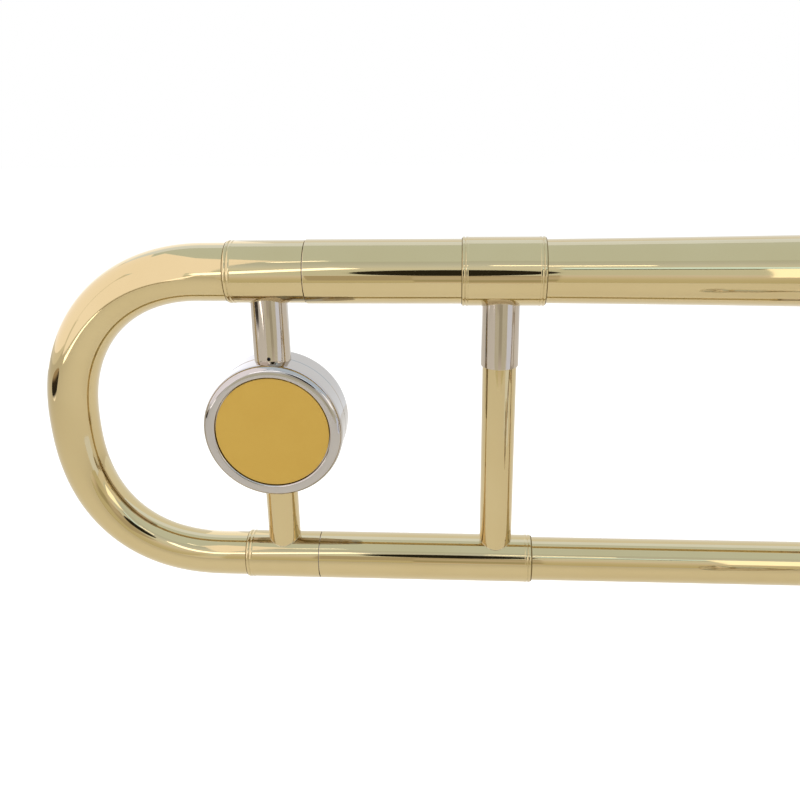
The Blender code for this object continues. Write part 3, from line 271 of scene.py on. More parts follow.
# %% [markdown]
# ** Small finishes.** Soft solder is tin: it sets with a bright, slightly puckered skin, and old
# flux leaves a brown line of tarnish beside it. The dark joint finish stands for that tarnish and
# also for the shade in the corner where a ferrule ends, so it is partly painted shade. Spring wire
# and screws are steel, blued by heat. The slug inside the weight is cast and never seen.

# %% Tarnish with painted shade, solder, blued steel and the cast slug
for kind in (
    # the joint finish: a brown tarnish tone that is also painted shade in the corner at each
    # ferrule's end
    ("tarnish_and_shade", "joint_tarnish_and_painted_shade", "#8a7442", "#5e4a26", 2, (0.35, 0.55), 1, None, 0.7),
    ("solder", "soft_solder", "#cdbf9c", "#a9936a", 1.5, (0.15, 0.35), 1, (0.8, 0.02)),
    ("blued_steel", "blued_steel", "#4a4c58", "#34333a", 2, (0.2, 0.38), 1, (0.6, 0.004)),
    ("cast_slug", "cast_slug", "#8f9092", "#6f7072", 3, (0.5, 0.7), 1, (1.2, 0.05)),
):
    metal(*kind)

# %% [markdown]
# **The weight's inlay.** A thin disc of satin, gold-coloured anodised aluminium. Etching before the
# dye leaves a fine, even grain that scatters the light, so it looks nearly flat from every side.
# The real grain is finer than the render shows, so it is drawn at half a millimetre.

# %% Satin gold inlay
INLAY = ("gold_inlay", "satin_gold_anodised", "#c9a345", "#c49c3e", 12)
metal(*INLAY, (0.42, 0.52), 2, (0.5, 0.006), 0.35)

# %% [markdown]
# **Felt, cork and rubber.** Felt rings cushion the slide in its barrels: pressed wool with loose
# fibres that catch light at the edge. The water key closes on a pad of natural cork, with dark
# lenticels. The bumper is black moulded rubber, matt with a slight bloom.

# %% Felt, cork and rubber
shader = soft_stuff("felt", "pressed_wool_felt", "#7c2430", "#5d1822", 1.2, 0.95, (0.5, 0.12))
shader.inputs["Sheen Weight"].default_value = 0.4
soft_stuff("cork", "natural_cork", "#c39a66", "#8a6238", 1.1, 0.85, (0.7, 0.08), 6)
soft_stuff("rubber", "moulded_black_rubber", "#2b2b2c", "#1d1d1e", 3, 0.62, (0.9, 0.02))
print("finishes:", ", ".join(FINISHES))

# %% [markdown]
# ## The lathe
# A turned piece is half its section, drawn as one line and spun round the axis. Real edges are
# never sharp, because the tool and the buffing mop round them, and that small round is what catches
# the light. So each corner of the section is replaced by a short curve first.

# %% Round the corners of a section
CORNER_STEPS = 4
SAME_POINT = 1e-6
NO_CORNER = math.radians(170)
EDGE_SHARE = 0.45  # a corner takes at most this much of the edges beside it


def rounded(section, radius, closed=True):
    points = [Vector(p) for p in section]
    count = len(points)
    line = []
    for i, corner in enumerate(points):
        before, after = points[i - 1] - corner, points[(i + 1) % count] - corner
        shorter = min(before.length, after.length)
        on_end = not closed and i in (0, count - 1)
        if on_end or shorter < SAME_POINT or before.angle(after) > NO_CORNER:
            line.append(corner)
            continue
        reach = min(radius / math.tan(before.angle(after) / 2), EDGE_SHARE * shorter)
        start, end = corner + before.normalized() * reach, corner + after.normalized() * reach
        for step in range(CORNER_STEPS + 1):
            share = step / CORNER_STEPS
            rest = 1 - share
            line.append(start * rest**2 + corner * 2 * share * rest + end * share**2)
    return [tuple(p) for p in line]


# %% Spin a section into a piece
SIDES = 96
MERGE = 0.000004
X_AXIS, Y_AXIS, Z_AXIS = Vector((1, 0, 0)), Vector((0, 1, 0)), Vector((0, 0, 1))


def only(piece):
    bpy.ops.object.select_all(action="DESELECT")
    piece.select_set(True)
    bpy.context.view_layer.objects.active = piece


def settle():
    # The place, turn and size of the active object go into its mesh.
    bpy.ops.object.transform_apply(location=True, rotation=True, scale=True)


def edit_all(action="SELECT"):
    bpy.ops.object.mode_set(mode="EDIT")
    bpy.ops.mesh.select_all(action=action)


def face_outwards(merge=True):
    edit_all()
    if merge:
        bpy.ops.mesh.remove_doubles(threshold=MERGE)
    bpy.ops.mesh.normals_make_consistent(inside=False)
    bpy.ops.object.mode_set(mode="OBJECT")


def draw_line(name, places):
    # One point is extruded from place to place. It is left in edit mode, all selected.
    bpy.ops.mesh.primitive_plane_add(size=MM, location=Vector(places[0]) * MM)
    piece = bpy.context.object
    piece.name = name
    bpy.ops.object.mode_set(mode="EDIT")
    bpy.ops.mesh.merge(type="CENTER")
    for here, there in zip(places, places[1:]):
        step = (Vector(there) - Vector(here)) * MM
        bpy.ops.mesh.extrude_region_move(TRANSFORM_OT_translate={"value": step})
    bpy.ops.mesh.select_all(action="SELECT")
    return piece


def turn_piece(name, section, axis_point, along=X_AXIS, sides=SIDES):
    # section lists (along the axis, radius). It starts and ends on the axis, or closes on itself.
    out = Z_AXIS if abs(along.x) == 1 else X_AXIS
    base = Vector(axis_point)
    line = list(section) + ([section[0]] if section[0][1] else [])
    piece = draw_line(name, [base + along * a + out * r for a, r in line])
    bpy.ops.mesh.spin(steps=sides, angle=math.tau, center=base * MM, axis=along)
    face_outwards()
    settle()
    return piece


def rod(low, high, radius, soft=0.0):
    # The section of a plain round bar.
    line = [(low, 0), (low, radius), (high, radius), (high, 0)]
    return rounded(line, soft, closed=False) if soft else line


CROWNED = 0.2  # a lower bead than this has a round top
CROWN = [math.pi * i / 8 for i in range(9)]
CLOSE = MERGE / MM / 4


def tube_section(start, end, outer, bore, bands=(), soft=0.15):
    # bands are (from, to, height): a bead stands above the tube, and a groove is below it.
    outside = [(start, outer)]
    for low, high, height in bands:
        centre, reach = (low + high) / 2, (high - low) / 2
        if 0 < height < CROWNED:
            outside += [(centre - reach * math.cos(a), outer + height * math.sin(a)) for a in CROWN]
        else:
            outside += [(low, outer), (low, outer + height), (high, outer + height), (high, outer)]
    outside.append((end, outer))
    merged = [p for i, p in enumerate(outside) if i == 0 or math.dist(p, outside[i - 1]) > CLOSE]
    if bands and bands[0][0] == start and bands[0][2] >= CROWNED:
        merged = merged[1:]
    if bands and bands[-1][1] == end and bands[-1][2] >= CROWNED:
        merged = merged[:-1]
    return rounded(merged + [(end, bore), (start, bore)], soft)


# %% [markdown]
# Flat light shows every kink, so a piece is shaded smooth up to a small angle, and its normals are
# weighted by face area: a long tube then reflects as a true cylinder right up to its rounded end.

# %% Shade a piece, give it its finish, and let it ride on its body
SMOOTH_ANGLE = math.radians(40)


def apply_modifier(piece, kind, **settings):
    only(piece)
    bpy.ops.object.modifier_add(type=kind)
    modifier = piece.modifiers[-1]
    for name, value in settings.items():
        setattr(modifier, name, value)
    bpy.ops.object.modifier_apply(modifier=modifier.name)


def smooth(piece, finish):
    only(piece)
    bpy.ops.object.shade_smooth_by_angle(angle=SMOOTH_ANGLE)
    piece.data.materials.clear()
    piece.data.materials.append(FINISHES[finish])


def ride_with(piece, node):
    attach(piece, frame["nodes"][node]["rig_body"])


def finish_piece(piece, node, slot, weighted=True):
    smooth(piece, slot)
    if weighted:
        apply_modifier(piece, "WEIGHTED_NORMAL", mode="FACE_AREA", weight=50, keep_sharp=True)
    ride_with(piece, node)
    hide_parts(node)
    return piece


def turned(name, node, slot, section, axis_point, along=X_AXIS, sides=SIDES):
    return finish_piece(turn_piece(name, section, axis_point, along, sides), node, slot)


def combine(piece, other, operation):
    apply_modifier(piece, "BOOLEAN", operation=operation, object=other, solver="EXACT")
    bpy.data.objects.remove(other)


FILE_SIDES, FILE_LENGTH = 256, 60


def cope(piece, centre, along, radius, length=FILE_LENGTH):
    # Cuts the end of a piece to sit on a round tube, as a fitter files it with a half-round file.
    bpy.ops.mesh.primitive_cylinder_add(
        vertices=FILE_SIDES,
        radius=radius * MM,
        depth=length * MM,
        location=Vector(centre) * MM,
        rotation=along.to_track_quat("Z", "Y").to_euler(),
    )
    combine(piece, bpy.context.object, "DIFFERENCE")


# %% [markdown]
# ## Bell
# The bell is one sheet, hammered and spun over a mandrel: a slow taper down the stem and a flare
# that opens faster and faster. A formula gives the radius at each point, and closer rings near the
# rim keep the curve smooth. The edge is rolled over a wire, which stiffens it and makes the bright
# lip.

# %% The spun bell
BELL_LENGTH, BELL_THROAT, BELL_TAPER = 425, 10.42, 0.0062
FLARE_LENGTH, FLARE_POWER, BELL_WALL = 200, 4.6, 0.5
WIRE_RADIUS, FIT = 1.25, 0.3
bell_start = box_mm("bell")[0][0]
wire_span = box_mm("bell_rim_wire")
RIM_X, RIM_RADIUS = wire_span[0][1], half(wire_span[2])
sheet_radius = RIM_RADIUS - 2 * WIRE_RADIUS - FIT
flare_gain = sheet_radius - BELL_THROAT - BELL_TAPER * (BELL_LENGTH - WIRE_RADIUS)


def bell_radius(back):
    flare = (FLARE_LENGTH / (FLARE_LENGTH + back - WIRE_RADIUS)) ** FLARE_POWER
    return BELL_THROAT + BELL_TAPER * (BELL_LENGTH - back) + flare_gain * flare


STATIONS, BELL_SIDES, RIM_SIDES, WIRE_SIDES = 72, 160, 192, 20
outside, inside = [], []
for i in range(STATIONS, -1, -1):
    back = WIRE_RADIUS + (RIM_X - bell_start - WIRE_RADIUS) * (i / STATIONS) ** 2
    x, radius = RIM_X - back, bell_radius(back)
    lean = math.atan(radius - bell_radius(back + 1))
    outside.append((x, radius))
    inside.append((x + BELL_WALL * math.sin(lean), radius - BELL_WALL * math.cos(lean)))
turned("spun_bell", "bell", "lacquered_brass", outside + inside[::-1], BELL_AXIS, sides=BELL_SIDES)

# %% The rolled rim
rim_x, rim_r = RIM_X - WIRE_RADIUS, RIM_RADIUS - WIRE_RADIUS
ring = [math.tau * i / WIRE_SIDES for i in range(WIRE_SIDES)]
rim_section = [(rim_x - WIRE_RADIUS * math.cos(a), rim_r + WIRE_RADIUS * math.sin(a)) for a in ring]
rim_names = ("rolled_bell_rim", "bell_rim_wire", "lacquered_brass")
turned(*rim_names, rim_section, BELL_AXIS, sides=RIM_SIDES)
print("bell rim radius %.1f mm" % RIM_RADIUS)

# %% [markdown]
# ## Tubes and ferrules
# A ferrule is the short collar that joins two tubes, with solder inside it. The end that shows is
# turned to two low ridges with a scribed groove between them. All of these are tubes with bands, so
# a list says where the beads and grooves of each are.

# %% Tubes along the instrument
BEAD_RISE, GROOVE = 0.1, -0.15


def make_tube(node, wall, axis, slot, ends=(), bands=(), soft=0.15, along=X_AXIS):
    # bands are (from, to, height), from each of the ends: 0 is the rear one and 1 the front one.
    box = box_mm(node)
    start, end = box[tuple(along).index(1)]
    rise = max([0, *[height for _, _, height in bands]])
    outer = half(box[0] if along == Y_AXIS else box[1]) - rise
    placed = [(start + near, start + far, height) for near, far, height in bands if 0 in ends]
    placed += [(end - far, end - near, height) for near, far, height in bands if 1 in ends]
    section = tube_section(start, end, outer, outer - wall, sorted(placed), soft)
    return turned(node + "_turned", node, slot, section, axis, along)


def beaded_end(length, groove):
    # Two low ridges with a scribed groove between them.
    edge = (length - groove) / 2
    return [(0, edge, BEAD_RISE), (edge, edge + groove, GROOVE), (edge + groove, length, BEAD_RISE)]


make_tube("upper_outer_tube", 0.58, BELL_AXIS, "lacquered_brass", soft=0.2)
make_tube("lower_outer_tube", 0.3, NECK_AXIS, "lacquered_brass", [1], beaded_end(2.3, 0.3), 0.13)
make_tube("neckpipe", 0.5, NECK_AXIS, "lacquered_brass")
make_tube("bell_ferrule", 0.35, BELL_AXIS, "lacquered_brass", [0, 1], beaded_end(2, 0.3), 0.25)
for leg in ("upper", "lower"):
    axis = BELL_AXIS if leg == "upper" else NECK_AXIS
    bands = beaded_end(2.4, 0.35)
    make_tube(leg + "_tuning_ferrule", 0.3, axis, "lacquered_brass", [0], bands, 0.14)
    make_tube(leg + "_tuning_tube", 0.5, axis, "nickel_silver")
print("tubes and ferrules of the bell section and the tuning slide are in place")

# %% [markdown]
# Polish never reaches the corner where a ferrule ends on its tube, so the solder there goes brown
# under the lacquer. It shows as a thin dark line round the tube, and here it is a thin dark ring
# that fills the corner: partly that brown tarnish, partly painted shade for the step and gap.

# %% Dark joint rings at the ends of the ferrules: tarnish and painted shade
SUNK, JOINT_ROUND = 0.1, 0.1


def joint_line(node, side, axis, radius, height, width):
    # radius is the tube's. side is 0 at the rear end of the node and 1 at its front end.
    start, end = box_mm(node)[0]
    back, front = (start - width, start) if side == 0 else (end, end + width)
    low, high = radius - SUNK, radius + height
    section = rounded([(back, low), (back, high), (front, high), (front, low)], JOINT_ROUND)
    ring = turn_piece("%s_joint_%d" % (node, side), section, axis)
    # the ring's dark finish is tarnish and painted shade in the joint's corner
    smooth(ring, "tarnish_and_shade")
    ride_with(ring, node)


joint_line("bell_ferrule", 0, BELL_AXIS, 11.25, 0.3, 0.28)
joint_line("bell_ferrule", 1, BELL_AXIS, 11.3, 0.3, 0.35)
joint_line("lower_outer_tube", 1, NECK_AXIS, 8.35, 0.45, 0.5)
joint_line("upper_tuning_ferrule", 0, BELL_AXIS, 10.37, 0.4, 0.4)
joint_line("lower_tuning_ferrule", 0, NECK_AXIS, 8.5, 0.4, 0.35)

# %% [markdown]
# ## Tuning bow
# The bow is a straight taper of brass tube, filled with pitch or ice and bent round a form that is
# a bit squarer than a half circle. By hand in Blender: a ring is extruded step by step round the
# bend, turned to face along it and scaled to the taper. Then Solidify gives it its wall.

# %% The bent bow
BOW_STEPS = 96
UPPER_BOW_SHAPE, LOWER_BOW_SHAPE = 2.17, 2.36
BOW_REACH, BOW_STRAIGHT, BOW_WALL = 55.2, 8.5, 0.6
BOW_RADII = (10.37, 9.0, 8.5)
half_height = BELL_AXIS[2] / 2
bow_front = box_mm("tuning_bow")[0][1]
bow_back = box_mm("upper_tuning_ferrule")[0][0]
bend_start = min(bow_back, box_mm("lower_tuning_ferrule")[0][0]) - BOW_STRAIGHT


def bow_radius(share):
    upper, centre, lower = BOW_RADII
    return (
        upper * (1 - share) * (1 - 2 * share)
        + centre * 4 * share * (1 - share)
        + lower * share * (2 * share - 1)
    )


def bow_place(share):
    angle = math.pi * share
    shape = UPPER_BOW_SHAPE if share < 0.5 else LOWER_BOW_SHAPE
    back = max(math.sin(angle), 0) ** (2 / shape)
    rise = math.copysign(abs(math.cos(angle)) ** (2 / shape), math.cos(angle))
    return Vector((bend_start - BOW_REACH * back, 0, half_height * (1 + rise)))


bow_line = [(Vector((bow_front, 0, BELL_AXIS[2])), BOW_RADII[0])]
bow_line += [(bow_place(i / BOW_STEPS), bow_radius(i / BOW_STEPS)) for i in range(BOW_STEPS + 1)]
bow_line.append((Vector((bow_front, 0, 0)), BOW_RADII[2]))


PIPE_SIDES = 64


def bent_pipe(name, node, line, first_way, turn_axis, wall):
    # Extrudes a ring from point to point of a line that bends in one plane. Its wall goes inwards.
    # In a script with no window the rotate operator turns the other way, so the angle is negated.
    start, radius = line[0]
    bpy.ops.mesh.primitive_circle_add(
        vertices=PIPE_SIDES,
        radius=radius * MM,
        location=start * MM,
        rotation=first_way.to_track_quat("Z", "Y").to_euler(),
    )
    pipe = bpy.context.object
    pipe.name = name
    letter = "XYZ"[[abs(c) for c in turn_axis].index(1)]
    edit_all()
    way = first_way
    for i in range(1, len(line)):
        here, there = line[i - 1][0], line[i][0]
        bpy.ops.mesh.extrude_edges_move(TRANSFORM_OT_translate={"value": (there - here) * MM})
        after = line[min(i + 1, len(line) - 1)][0]
        new_way = (there - here).normalized()
        if after != there:
            new_way = (new_way + (after - there).normalized()).normalized()
        angle = way.angle(new_way)
        if way.cross(new_way).dot(turn_axis) < 0:
            angle = -angle
        bpy.ops.transform.rotate(value=-angle, orient_axis=letter, center_override=there * MM)
        grow = line[i][1] / line[i - 1][1]
        bpy.ops.transform.resize(value=(grow, grow, grow), center_override=there * MM)
        way = new_way
    bpy.ops.object.mode_set(mode="OBJECT")
    settle()
    face_outwards(merge=False)
    apply_modifier(pipe, "SOLIDIFY", thickness=wall * MM, offset=-1, use_rim=True)
    return finish_piece(pipe, node, "lacquered_brass", weighted=False)


bow = bent_pipe("bent_tuning_bow", "tuning_bow", bow_line, -X_AXIS, Y_AXIS, BOW_WALL)
print("bow reaches x %.1f mm" % (min(v.co.x for v in bow.data.vertices) / MM))

# %% [markdown]
# ## Counterweight
# A slide section pulls the instrument forwards, so a weight sits in the tuning slide behind the
# player's shoulder. It is a round case of two plated cups that meet at a seam, over a cast slug,
# with a satin disc let into each face. A turned post holds it to each ferrule.

# %% The case, its inlays and the slug
WEIGHT_CENTRE = [middle(span) for span in box_mm("weight_core")]
case_box = box_mm("weight_front_shell")
CASE_RADIUS, INLAY_RADIUS = half(case_box[0]), half(box_mm("weight_front_inlay")[0])
CASE_HALF, SEAM_HALF = (WEIGHT_CENTRE[1] - y for y in case_box[1])
CASE_WALL, CASE_FACE, LIP, WEIGHT_SIDES = 1.6, 1.0, INLAY_RADIUS + 0.3, 160
CASE_EDGE, EDGE_STEPS = min(2.6, (CASE_RADIUS - LIP) * 0.6), 10
INLAY_SUNK, INLAY_THICKNESS = 0.6, 0.8
RECESS = CASE_HALF - INLAY_SUNK - INLAY_THICKNESS - FIT

for side, way in (("front", -Y_AXIS), ("rear", Y_AXIS)):
    section = [
        (RECESS - CASE_FACE, 0),
        (RECESS - CASE_FACE, CASE_RADIUS - CASE_WALL),
        (SEAM_HALF, CASE_RADIUS - CASE_WALL),
        (SEAM_HALF, CASE_RADIUS - 0.2),
        (SEAM_HALF + 0.2, CASE_RADIUS),
    ]
    for i in range(EDGE_STEPS + 1):
        a = math.radians(90 * i / EDGE_STEPS)
        x, radius = CASE_HALF - CASE_EDGE, CASE_RADIUS - CASE_EDGE
        section.append((x + CASE_EDGE * math.sin(a), radius + CASE_EDGE * math.cos(a)))
    section += [
        (CASE_HALF, LIP + 0.7),
        (CASE_HALF - 0.1, LIP + 0.35),
        (CASE_HALF - 0.35, LIP + 0.08),
        (CASE_HALF - 0.7, LIP),
        (RECESS, LIP),
        (RECESS, 0),
    ]
    disc_section = rod(RECESS + FIT, CASE_HALF - INLAY_SUNK, INLAY_RADIUS, 0.2)
    for what, node, slot, line in (
        ("cup", "shell", "chrome_case", section),
        ("disc", "inlay", "gold_inlay", disc_section),
    ):
        name, node = "weight_%s_%s" % (side, what), "weight_%s_%s" % (side, node)
        turned(name, node, slot, line, WEIGHT_CENTRE, way, sides=WEIGHT_SIDES)

core_box = box_mm("weight_core")
core_section = rod(-half(core_box[1]), half(core_box[1]), half(core_box[0]), 1.2)
turned("weight_slug", "weight_core", "cast_slug", core_section, WEIGHT_CENTRE, Y_AXIS)
print("case radius %.1f mm, half thickness %.1f mm" % (CASE_RADIUS, CASE_HALF))

# %% [markdown]
# ## Posts and the rear brace
# Each post is cut from rod, its ends filed hollow to fit the round surfaces they touch, and
# soldered. The files here are cylinders with the radius of what the post sits on, taken away with a
# Boolean. The solder is a thin bright bead round each foot: a ring laid on the joint and draped
# over the tube.

# %% Upper and lower post
UPPER_FERRULE_RADIUS, LOWER_FERRULE_RADIUS, LOWER_TUBE_RADIUS = 10.97, 9.1, 9.1
SOLDER_GAP, TO_FILE = 0.02, 1
post_x = WEIGHT_CENTRE[0]


def post_bar(name, node):
    # It is longer at both ends by what the file takes away.
    (left, right), _, (bottom, top) = box_mm(node)
    section = rod(bottom - TO_FILE, top + TO_FILE, half((left, right)))
    bar = turn_piece(name, section, (middle((left, right)), 0, 0), Z_AXIS)
    return bar, half((left, right))


upper_post, UPPER_POST_RADIUS = post_bar("upper_post_bar", "weight_upper_post")
cope(upper_post, (post_x, 0, BELL_AXIS[2]), X_AXIS, UPPER_FERRULE_RADIUS + SOLDER_GAP)
cope(upper_post, WEIGHT_CENTRE, Y_AXIS, CASE_RADIUS + SOLDER_GAP)
_, (screw_front, screw_back), screw_span = box_mm("weight_set_screw")
SCREW_Z, SCREW_RADIUS = middle(screw_span), half(screw_span)
cope(upper_post, (post_x, -UPPER_POST_RADIUS, SCREW_Z), Y_AXIS, SCREW_RADIUS + 0.2, 6)
finish_piece(upper_post, "weight_upper_post", "nickel_silver")

lower_post, LOWER_POST_RADIUS = post_bar("lower_post_bar", "weight_lower_post")
cope(lower_post, (post_x, 0, 0), X_AXIS, LOWER_FERRULE_RADIUS + SOLDER_GAP)
cope(lower_post, WEIGHT_CENTRE, Y_AXIS, CASE_RADIUS + SOLDER_GAP)
finish_piece(lower_post, "weight_lower_post", "lacquered_brass")

# %% The set screw in the upper post's foot
length = screw_back - screw_front
socket_floor, socket_radius = length - 0.8, SCREW_RADIUS * 0.5
screw_section = [
    (0, 0),
    (0, SCREW_RADIUS),
    (length - 0.15, SCREW_RADIUS),
    (length, SCREW_RADIUS - 0.15),
    (length, socket_radius),
    (socket_floor, socket_radius),
    (socket_floor, 0),
]
screw_place = (post_x, screw_back, SCREW_Z)
screw = turn_piece("weight_grub_screw", screw_section, screw_place, -Y_AXIS, sides=24)
finish_piece(screw, "weight_set_screw", "blued_steel")

# %% Rear brace: a nickel sleeve under the bell ferrule and a brass tube inside it
sleeve_box, brace_box = box_mm("rear_brace_sleeve"), box_mm("rear_brace_tube")
brace_x = middle(sleeve_box[0])
SLEEVE_RADIUS, SLEEVE_WALL = half(sleeve_box[0]), 0.28
BRACE_RADIUS, BRACE_WALL = half(brace_box[0]), 0.8
FERRULE_RADIUS = half(box_mm("bell_ferrule")[1]) - BEAD_RISE
low, high = sleeve_box[2]
sleeve_section = tube_section(low, high + 2, SLEEVE_RADIUS, SLEEVE_RADIUS - SLEEVE_WALL)
sleeve = turn_piece("rear_brace_collar", sleeve_section, (brace_x, 0, 0), Z_AXIS)
cope(sleeve, (brace_x, 0, BELL_AXIS[2]), X_AXIS, FERRULE_RADIUS + SOLDER_GAP)
finish_piece(sleeve, "rear_brace_sleeve", "nickel_silver")

low, high = brace_box[2]
brace_section = tube_section(low - 2, high, BRACE_RADIUS, BRACE_RADIUS - BRACE_WALL)
brace = turn_piece("rear_brace_stay", brace_section, (brace_x, 0, 0), Z_AXIS)
cope(brace, (brace_x, 0, 0), X_AXIS, LOWER_TUBE_RADIUS + SOLDER_GAP)
finish_piece(brace, "rear_brace_tube", "lacquered_brass")


# %% Solder round the feet
def solder_seam(name, node, bar_radius, bar_x, tube_radius, tube_z, side, bead):
    # side is 1 where the bar stands on top of the tube, and -1 where it hangs under it.
    bpy.ops.mesh.primitive_torus_add(
        major_segments=96,
        minor_segments=10,
        major_radius=bar_radius * MM,
        minor_radius=bead * MM,
        location=Vector((bar_x, 0, tube_z + side * tube_radius)) * MM,
    )
    seam = bpy.context.object
    seam.name = name
    settle()
    for vertex in seam.data.vertices:
        reach = min(abs(vertex.co.y) / MM, tube_radius * 0.98)
        drop = tube_radius - math.sqrt(tube_radius**2 - reach**2)
        vertex.co.z -= side * drop * MM
    bpy.ops.object.shade_smooth()
    seam.data.materials.append(FINISHES["solder"])
    ride_with(seam, node)


on_neck, on_bell = (0, 1, 0.14), (BELL_AXIS[2], -1, 0.12)
for name, node, bar, x, tube, place in (
    ("lower_post", "weight_lower_post", LOWER_POST_RADIUS, post_x, LOWER_FERRULE_RADIUS, on_neck),
    ("rear_brace", "rear_brace_tube", BRACE_RADIUS, brace_x, LOWER_TUBE_RADIUS, on_neck),
    ("upper_post", "weight_upper_post", UPPER_POST_RADIUS, post_x, UPPER_FERRULE_RADIUS, on_bell),
    ("brace_sleeve", "rear_brace_sleeve", SLEEVE_RADIUS, brace_x, FERRULE_RADIUS, on_bell),
):
    solder_seam(name + "_solder", node, bar, x, tube, *place)
print("posts, brace and solder are in place")

# %% [markdown]
# ## Receiver, tenon and lock nut
# The bell section ends in a heavy receiver with a thread outside. The hand slide's tenon goes into
# it, and a knurled nut on the tenon screws on to the thread and pulls the two together. Seen this
# close a thread is a helix, but rings a millimetre apart look the same and stay one closed solid.

# %% The receiver and its thread
(receiver_back, receiver_front), _, _ = box_mm("slide_receiver")
THREAD_LENGTH, THREAD_PITCH, THREAD_HEIGHT = 12, 1.0, 0.5
RECEIVER_RADIUS, RECEIVER_BORE, COLLAR_RISE = 10.25, 8.65, 0.8
root_radius, crest_radius = RECEIVER_RADIUS - 0.1, RECEIVER_RADIUS + THREAD_HEIGHT
receiver_section = rounded(
    [
        (receiver_back, RECEIVER_BORE),
        (receiver_back, RECEIVER_RADIUS + COLLAR_RISE),
        (receiver_back + 3, RECEIVER_RADIUS + COLLAR_RISE),
        (receiver_back + 3.3, RECEIVER_RADIUS),
    ],
    0.5,
    closed=False,
)
for i in range(round(THREAD_LENGTH / THREAD_PITCH)):
    root = receiver_front - THREAD_LENGTH + i * THREAD_PITCH
    receiver_section += [(root + 0.1, root_radius), (root + 0.42, crest_radius)]
    receiver_section += [(root + 0.58, crest_radius), (root + 0.9, root_radius)]
receiver_section += [(receiver_front, root_radius), (receiver_front, RECEIVER_BORE)]
turned("receiver_body", "slide_receiver", "nickel_silver", receiver_section, NECK_AXIS)

# %% The slide's tenon
(tenon_back, tenon_front), _, _ = box_mm("slide_tenon")
CASING_RADIUS, CASING_BORE = 8.3, 7.3
SHOULDER_RADIUS, SHOULDER = 10.05, (-7.7, -3)
tenon_section = [
    (tenon_back, CASING_BORE),
    (tenon_back, CASING_RADIUS - 0.35),
    (SHOULDER[0], CASING_RADIUS),
    (SHOULDER[0], SHOULDER_RADIUS),
    (SHOULDER[1], SHOULDER_RADIUS),
    (SHOULDER[1], CASING_RADIUS),
    (tenon_front, CASING_RADIUS),
    (tenon_front, CASING_BORE),
]
turned("tapered_tenon", "slide_tenon", "nickel_silver", rounded(tenon_section, 0.25), NECK_AXIS)


# %% A knurl, and the lock nut
def knurl(piece, axis_point, span, radius, depth):
    # Every other line of the band is pressed in towards the axis, which leaves straight ridges.
    base = Vector(axis_point) * MM
    only(piece)
    edit_all("DESELECT")
    bpy.ops.object.mode_set(mode="OBJECT")
    for vertex in piece.data.vertices:
        arm = (vertex.co - base) / MM
        column = round(math.atan2(arm.z, arm.y) / math.tau * KNURL_SIDES)
        in_band = span[0] <= vertex.co.x / MM <= span[1]
        outside = math.hypot(arm.y, arm.z) > radius - 0.02
        vertex.select = in_band and outside and column % 2 == 0
    bpy.ops.object.mode_set(mode="EDIT")
    shrink = 1 - depth / radius
    bpy.ops.transform.resize(value=(1, shrink, shrink), center_override=base)
    bpy.ops.object.mode_set(mode="OBJECT")


def banded(span, radius, groove):
    # The band to knurl, with the same groove at both ends: (distance from the band, depth) inwards.
    rear = [(span[0] - away, radius - depth) for away, depth in groove]
    front = [(span[1] + away, radius - depth) for away, depth in reversed(groove)]
    return [*rear, (span[0], radius), (span[1], radius), *front]


(nut_back, nut_front), _, _ = box_mm("bell_lock_nut")
NUT_RADIUS, NUT_BORE, KNURL_SIDES = 13.45, 11.05, 144
knurl_span = (nut_back + 3, nut_front - 3)
nut_section = [
    (nut_back, NUT_BORE),
    (nut_back, NUT_RADIUS - 0.8),
    (nut_back + 0.8, NUT_RADIUS - 0.15),
    *banded(knurl_span, NUT_RADIUS, [(0.9, 0.15), (0.6, 0.6), (0.3, 0.6)]),
    (nut_front - 0.8, NUT_RADIUS - 0.15),
    (nut_front, NUT_RADIUS - 0.8),
    (nut_front, CASING_RADIUS + FIT),
    (SHOULDER[1] + FIT, CASING_RADIUS + FIT),
    (SHOULDER[1] + FIT, NUT_BORE),
]
nut = turn_piece("knurled_lock_nut", nut_section, NECK_AXIS, sides=KNURL_SIDES)
knurl(nut, NECK_AXIS, knurl_span, NUT_RADIUS, 0.4)
finish_piece(nut, "bell_lock_nut", "nickel_silver", weighted=False)
print("receiver, tenon and lock nut are in place")

# %% [markdown]
# ## Inner slide
# The part that the left hand holds. A sleeve on each leg leads to a cork barrel, which takes the
# outer slide on a felt when the slide is closed. The two inner tubes are hard chrome, honed to
# slide, and a slightly thicker stocking at the end is all that touches the outer tube.

